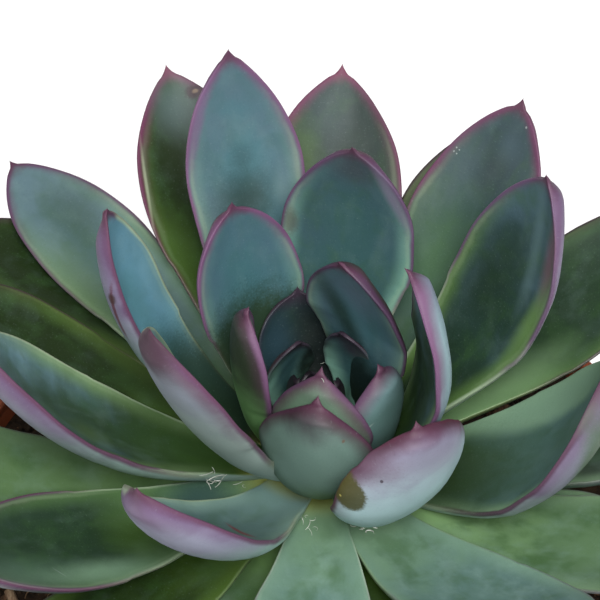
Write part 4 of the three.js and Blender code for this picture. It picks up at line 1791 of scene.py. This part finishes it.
@dataclass
class Stem:
    """The short stem with scars where leaves have come away. Lengths are millimetres."""

    rosette: Rosette
    soil_top: float = 90.0
    buried_radius: float = 7.2
    buried_length: float = 22.0
    neck_radius: float = 7.4
    under_leaves: float = 3.0
    bulge: float = 0.5
    shoulder: float = 1.0
    top_radius: float = 3.0
    crown: float = 0.4
    sides: int = 72
    scar_turn: float = 137.5
    scars: int = 16
    scar_start: float = 1.2
    scar_rise: float = 0.8
    scar_spread: float = 0.42
    scar_height: float = 0.9
    scar_swell: float = 0.5
    scar_pit: float = 0.3

    def build(self) -> Piece:
        """Makes the stem and dresses it.

        Returns:
            The stem.
        """
        rosette = self.rosette
        low = rosette.rim_height + rosette.lowest_seat
        high = rosette.rim_height + rosette.highest_seat
        rings = [
            (1.0, self.soil_top - self.buried_length),
            (self.buried_radius, self.soil_top - self.buried_length),
            (self.buried_radius, self.soil_top),
            (self.neck_radius, rosette.rim_height),
            (rosette.outer_ring + self.bulge, low - self.under_leaves),
        ]
        for share in (0.0, 0.25, 0.5, 0.75, 1.0):
            ring = rosette.ring(share) + self.bulge
            rings.append((ring, low + (high - low) * share - self.shoulder))
        rings += [(self.top_radius, high), (1.0, high + self.crown)]
        stem = drawn_up("short_stem", self._denser(rings), self.sides)
        for vertex in stem.data.vertices:
            vertex.co = self._scarred(vertex.co)
        stem.data.transform(Matrix.Translation((rosette.stem_shift * MM, 0, 0)))
        smooth(stem)
        seat(stem, "stem", self.skin(), ["stem"])
        return stem

    @staticmethod
    def _denser(rings: list[tuple[float, float]], step: float = 0.8) -> list[tuple[float, float]]:
        """Adds rings between rings.

        Args:
            rings: Radius and height of each.
            step: The greatest distance between two.

        Returns:
            The longer list.
        """
        dense = [rings[0]]
        for (r0, z0), (r1, z1) in zip(rings, rings[1:]):
            count = max(1, round(math.hypot(r1 - r0, z1 - z0) / step))
            dense += [(r0 + (r1 - r0) * i / count, z0 + (z1 - z0) * i / count) for i in range(1, count + 1)]
        return dense

    def _scarred(self, spot: Vector) -> Vector:
        """Moves a point of the stem in or out by its leaf scars.

        Args:
            spot: The point, in metres.

        Returns:
            Where it goes.
        """
        height = spot.z / MM
        if height < self.soil_top:
            return spot
        angle = math.atan2(spot.y, spot.x)
        push = 0.12 * math.sin(5 * angle + height * 1.7)
        for i in range(self.scars):
            centre = math.radians(self.scar_turn * i)
            away = (angle - centre + math.pi) % math.tau - math.pi
            level = self.soil_top + self.scar_start + self.scar_rise * i
            near = (away / self.scar_spread) ** 2 + ((height - level) / self.scar_height) ** 2
            push += self.scar_swell * math.exp(-near) - self.scar_pit * math.exp(-near * 5)
        radius = math.hypot(spot.x, spot.y)
        grow = 1 + push * MM / max(radius, MM)
        return Vector((spot.x * grow, spot.y * grow, spot.z))

    @staticmethod
    def skin() -> Material:
        """Yellow-green skin above, going brown and corky towards the soil.

        Returns:
            The material.
        """
        graph = Graph("stem_skin")
        place_at = graph.object_place()
        height = graph.height_mm(place_at)
        cork = graph.noise(graph.stretched(place_at, (600.0, 600.0, 260.0)), 1.0, 4.0, 0.65)
        patches = graph.noise(place_at, 170.0, 3.0, 0.6)
        green = graph.mix(patches.rises(0.4, 0.65), (0.2, 0.24, 0.05), (0.3, 0.31, 0.1))
        brown = graph.mix(cork.rises(0.35, 0.65), (0.07, 0.035, 0.018), (0.24, 0.15, 0.085))
        colour = graph.mix((height + (patches - 0.5) * 9.0).rises(96.0, 103.0), brown, green)
        return graph.finish(colour, 0.6 + 0.3 * cork, 0.25 * cork, 0.9, {"Specular IOR Level": 0.3})


# ------------------------------------------------------------------ litter


class Shred(Enum):
    """Kinds of small litter, by how they curl: turns over their length."""

    STRAIGHT = 0.15
    BENT = 0.8
    CURLED = 2.4


@dataclass(frozen=True)
class Wisp:
    """A pale thread that lies on the plant where the camera sees a pixel of the 600 by 600 photograph."""

    pixel: tuple[float, float]
    kind: Shred
    length: float
    thickness: float
    turn: float


@dataclass
class Litter:
    """Shreds of dry leaf base and threads caught in the rosette. Lengths are millimetres."""

    studio: "Studio"
    carriers: Sequence[Piece]
    photo_size: float = 600.0
    wisps: tuple[Wisp, ...] = (
        Wisp((206, 474), Shred.STRAIGHT, 2.0, 0.07, 20),
        Wisp((210, 480), Shred.STRAIGHT, 2.2, 0.09, 75),
        Wisp((215, 476), Shred.STRAIGHT, 2.6, 0.11, 150),
        Wisp((220, 483), Shred.STRAIGHT, 2.0, 0.09, 60),
        Wisp((214, 471), Shred.STRAIGHT, 1.6, 0.08, 100),
        Wisp((217, 480), Shred.BENT, 2.0, 0.1, 10),
        Wisp((209, 485), Shred.STRAIGHT, 1.6, 0.08, 120),
        Wisp((213, 483), Shred.BENT, 1.8, 0.1, 50),
        Wisp((223, 477), Shred.STRAIGHT, 1.5, 0.07, 110),
        Wisp((238, 484), Shred.STRAIGHT, 1.4, 0.06, 20),
        Wisp((243, 487), Shred.BENT, 1.2, 0.05, 300),
        Wisp((303, 521), Shred.STRAIGHT, 1.6, 0.06, 100),
        Wisp((309, 526), Shred.STRAIGHT, 1.9, 0.06, 70),
        Wisp((313, 521), Shred.BENT, 1.7, 0.06, 10),
        Wisp((317, 528), Shred.BENT, 1.5, 0.05, 130),
        Wisp((311, 532), Shred.STRAIGHT, 1.4, 0.05, 110),
        Wisp((305, 516), Shred.BENT, 1.2, 0.05, 240),
        Wisp((355, 527), Shred.BENT, 2.4, 0.09, 10),
        Wisp((362, 530), Shred.CURLED, 2.6, 0.12, 350),
        Wisp((369, 531), Shred.BENT, 2.4, 0.12, 190),
        Wisp((374, 527), Shred.BENT, 1.4, 0.09, 60),
        Wisp((323, 363), Shred.STRAIGHT, 0.7, 0.05, 40),
        Wisp((323, 380), Shred.STRAIGHT, 0.7, 0.05, 110),
    )

    def build(self) -> None:
        """Makes the threads and dresses them."""
        trees = [self._tree(piece) for piece in self.carriers]
        model = rod("thread", 6, 1, 1, 0, 17)
        threads = []
        for i, wisp in enumerate(self.wisps):
            hit = self._carried(trees, wisp.pixel)
            if hit is None:
                LOG.warning("no leaf carries the thread at %s", wisp.pixel)
                continue
            thread = copied(model, f"thread_{i}")
            self._lay(thread, wisp, *hit)
            threads.append(thread)
        bpy.data.objects.remove(model)
        whole = joined(threads, "pale_threads")
        smooth(whole)
        seat(whole, "leaf_middle", self.dry())

    @staticmethod
    def _tree(piece: Piece) -> BVHTree:
        """A search tree of a piece's faces."""
        corners = [vertex.co.copy() for vertex in piece.data.vertices]
        return BVHTree.FromPolygons(corners, [tuple(face.vertices) for face in piece.data.polygons])

    def _carried(
        self, trees: Sequence[BVHTree], pixel: tuple[float, float]
    ) -> Optional[tuple[Vector, Vector]]:
        """Finds what the camera sees at a pixel.

        Args:
            trees: The pieces' search trees.
            pixel: The pixel.

        Returns:
            The nearest point and its outward direction, or nothing.
        """
        focal = self.studio.lens / self.studio.sensor * self.photo_size
        middle = self.photo_size / 2
        ray = Vector(((pixel[0] - middle) / focal, (middle - pixel[1]) / focal, -1.0)).normalized()
        ray.rotate(Matrix.Rotation(math.radians(self.studio.camera_tilt), 3, "X"))
        start = Vector(self.studio.camera_place)
        hits = [tree.ray_cast(start, ray) for tree in trees]
        hits = [hit for hit in hits if hit[0] is not None]
        if not hits:
            return None
        spot, out, _, _ = min(hits, key=lambda hit: hit[3])
        return spot, out if out.dot(ray) < 0 else -out

    @staticmethod
    def _lay(thread: Piece, wisp: Wisp, spot: Vector, out: Vector) -> None:
        """Bends a straight thread and lays it on a surface.

        Args:
            thread: The thread.
            wisp: How it is to be.
            spot: The point on the surface.
            out: The surface's outward direction.
        """
        along = Matrix.Rotation(math.radians(wisp.turn), 3, "Z") @ Vector((1, 0, 0))
        along = (along - out * along.dot(out)).normalized()
        across = out.cross(along)
        wind = math.tau * wisp.kind.value
        for vertex in thread.data.vertices:
            t = vertex.co.z
            thin = wisp.thickness * (1 - 0.6 * abs(2 * t - 1) ** 2)
            angle = wind * (t - 0.5)
            loop = wisp.length / max(wind, 0.4)
            x = loop * math.sin(angle) + 0.3 * wisp.length * (t - 0.5)
            y = loop * (1 - math.cos(angle))
            lift = wisp.thickness * 0.8 + 0.12 * wisp.length * t * t
            sideways = vertex.co.y * thin
            place_at = along * x + across * (y + sideways) + out * (lift + vertex.co.x * thin)
            vertex.co = spot + place_at * MM

    @staticmethod
    def dry() -> Material:
        """Papery off-white.

        Returns:
            The material.
        """
        graph = Graph("dry_thread")
        patches = graph.noise(graph.object_place(), 700.0, 3.0)
        colour = graph.mix(patches.rises(0.35, 0.65), (0.32, 0.36, 0.3), (0.68, 0.7, 0.64))
        return graph.finish(colour, 0.6 + 0.2 * patches, 0.03 * patches, 0.5)


# ------------------------------------------------------------------ studio


@dataclass(frozen=True)
class Softbox:
    """A large soft lamp that looks at the plant. Lengths are metres."""

    name: str
    place: Triple
    size: float
    power: float

    def build(self, aim: Vector) -> None:
        """Adds the lamp.

        Args:
            aim: The point that it looks at.
        """
        light = bpy.data.lights.new(self.name, "AREA")
        light.shape = "SQUARE"
        light.size = self.size
        light.energy = self.power
        lamp = bpy.data.objects.new(self.name, light)
        lamp.location = self.place
        lamp.rotation_euler = (aim - Vector(self.place)).to_track_quat("-Z", "Y").to_euler()
        bpy.context.scene.collection.objects.link(lamp)


@dataclass
class Studio:
    """Camera, floor, lamps and sky. Lengths are metres, but the camera's lens and sensor are millimetres."""

    lens: float = 242.76
    sensor: float = 36.0
    camera_place: Triple = (-0.00147, -0.4697, 0.6153)
    camera_tilt: float = 45.0
    aim: Triple = (0.0, 0.0, 0.11)
    floor_size: float = 8.0
    sky: float = 0.2
    lamps: tuple[Softbox, ...] = (
        Softbox("left", (-1.0, -0.4, 0.8), 0.6, 4.0),
        Softbox("right", (1.0, -0.4, 0.8), 0.6, 6.0),
        Softbox("overhead", (0.0, -0.1, 1.5), 0.9, 4.5),
        Softbox("front", (0.1, -0.8, 1.2), 0.55, 24.0),
    )

    def build(self) -> None:
        """Sets up the camera, floor and light."""
        self._camera()
        self._floor()
        for lamp in self.lamps:
            lamp.build(Vector(self.aim))
        world = bpy.data.worlds.new("sky")
        world.use_nodes = True
        background = world.node_tree.nodes["Background"]
        background.inputs["Color"].default_value = (1, 1, 1, 1)
        background.inputs["Strength"].default_value = self.sky
        bpy.context.scene.world = world
        bpy.context.scene.view_settings.view_transform = "Standard"

    def _camera(self) -> None:
        """Adds the camera at the photograph's viewing angle."""
        data = bpy.data.cameras.new("camera")
        data.lens = self.lens
        data.sensor_width = self.sensor
        data.clip_start = 0.01
        data.clip_end = 20
        camera = bpy.data.objects.new("camera", data)
        camera.location = self.camera_place
        camera.rotation_euler = (math.radians(self.camera_tilt), 0, 0)
        bpy.context.scene.collection.objects.link(camera)
        bpy.context.scene.camera = camera

    def _floor(self) -> None:
        """Adds the pale floor."""
        floor = primitive("floor", "plane", size=self.floor_size)
        graph = Graph("pale_floor")
        cloud = graph.noise(graph.object_place(), 3.0, 2.0)
        floor.data.materials.append(graph.finish(graph.mix(cloud, (0.9, 0.9, 0.9), (0.93, 0.93, 0.93)), 0.8))


# ------------------------------------------------------------------ the whole


def main() -> None:
    """Builds the whole scene, one sub-assembly after the other."""
    logging.basicConfig(level=logging.INFO, format="%(name)s: %(message)s")
    studio = Studio()
    studio.build()
    pot = Pot()
    pot.build()
    Soil(pot).build()
    rosette = Rosette()
    carriers = rosette.build()
    stem = Stem(rosette).build()
    Litter(studio, [*carriers, stem]).build()


if __name__ == "__main__":
    main()
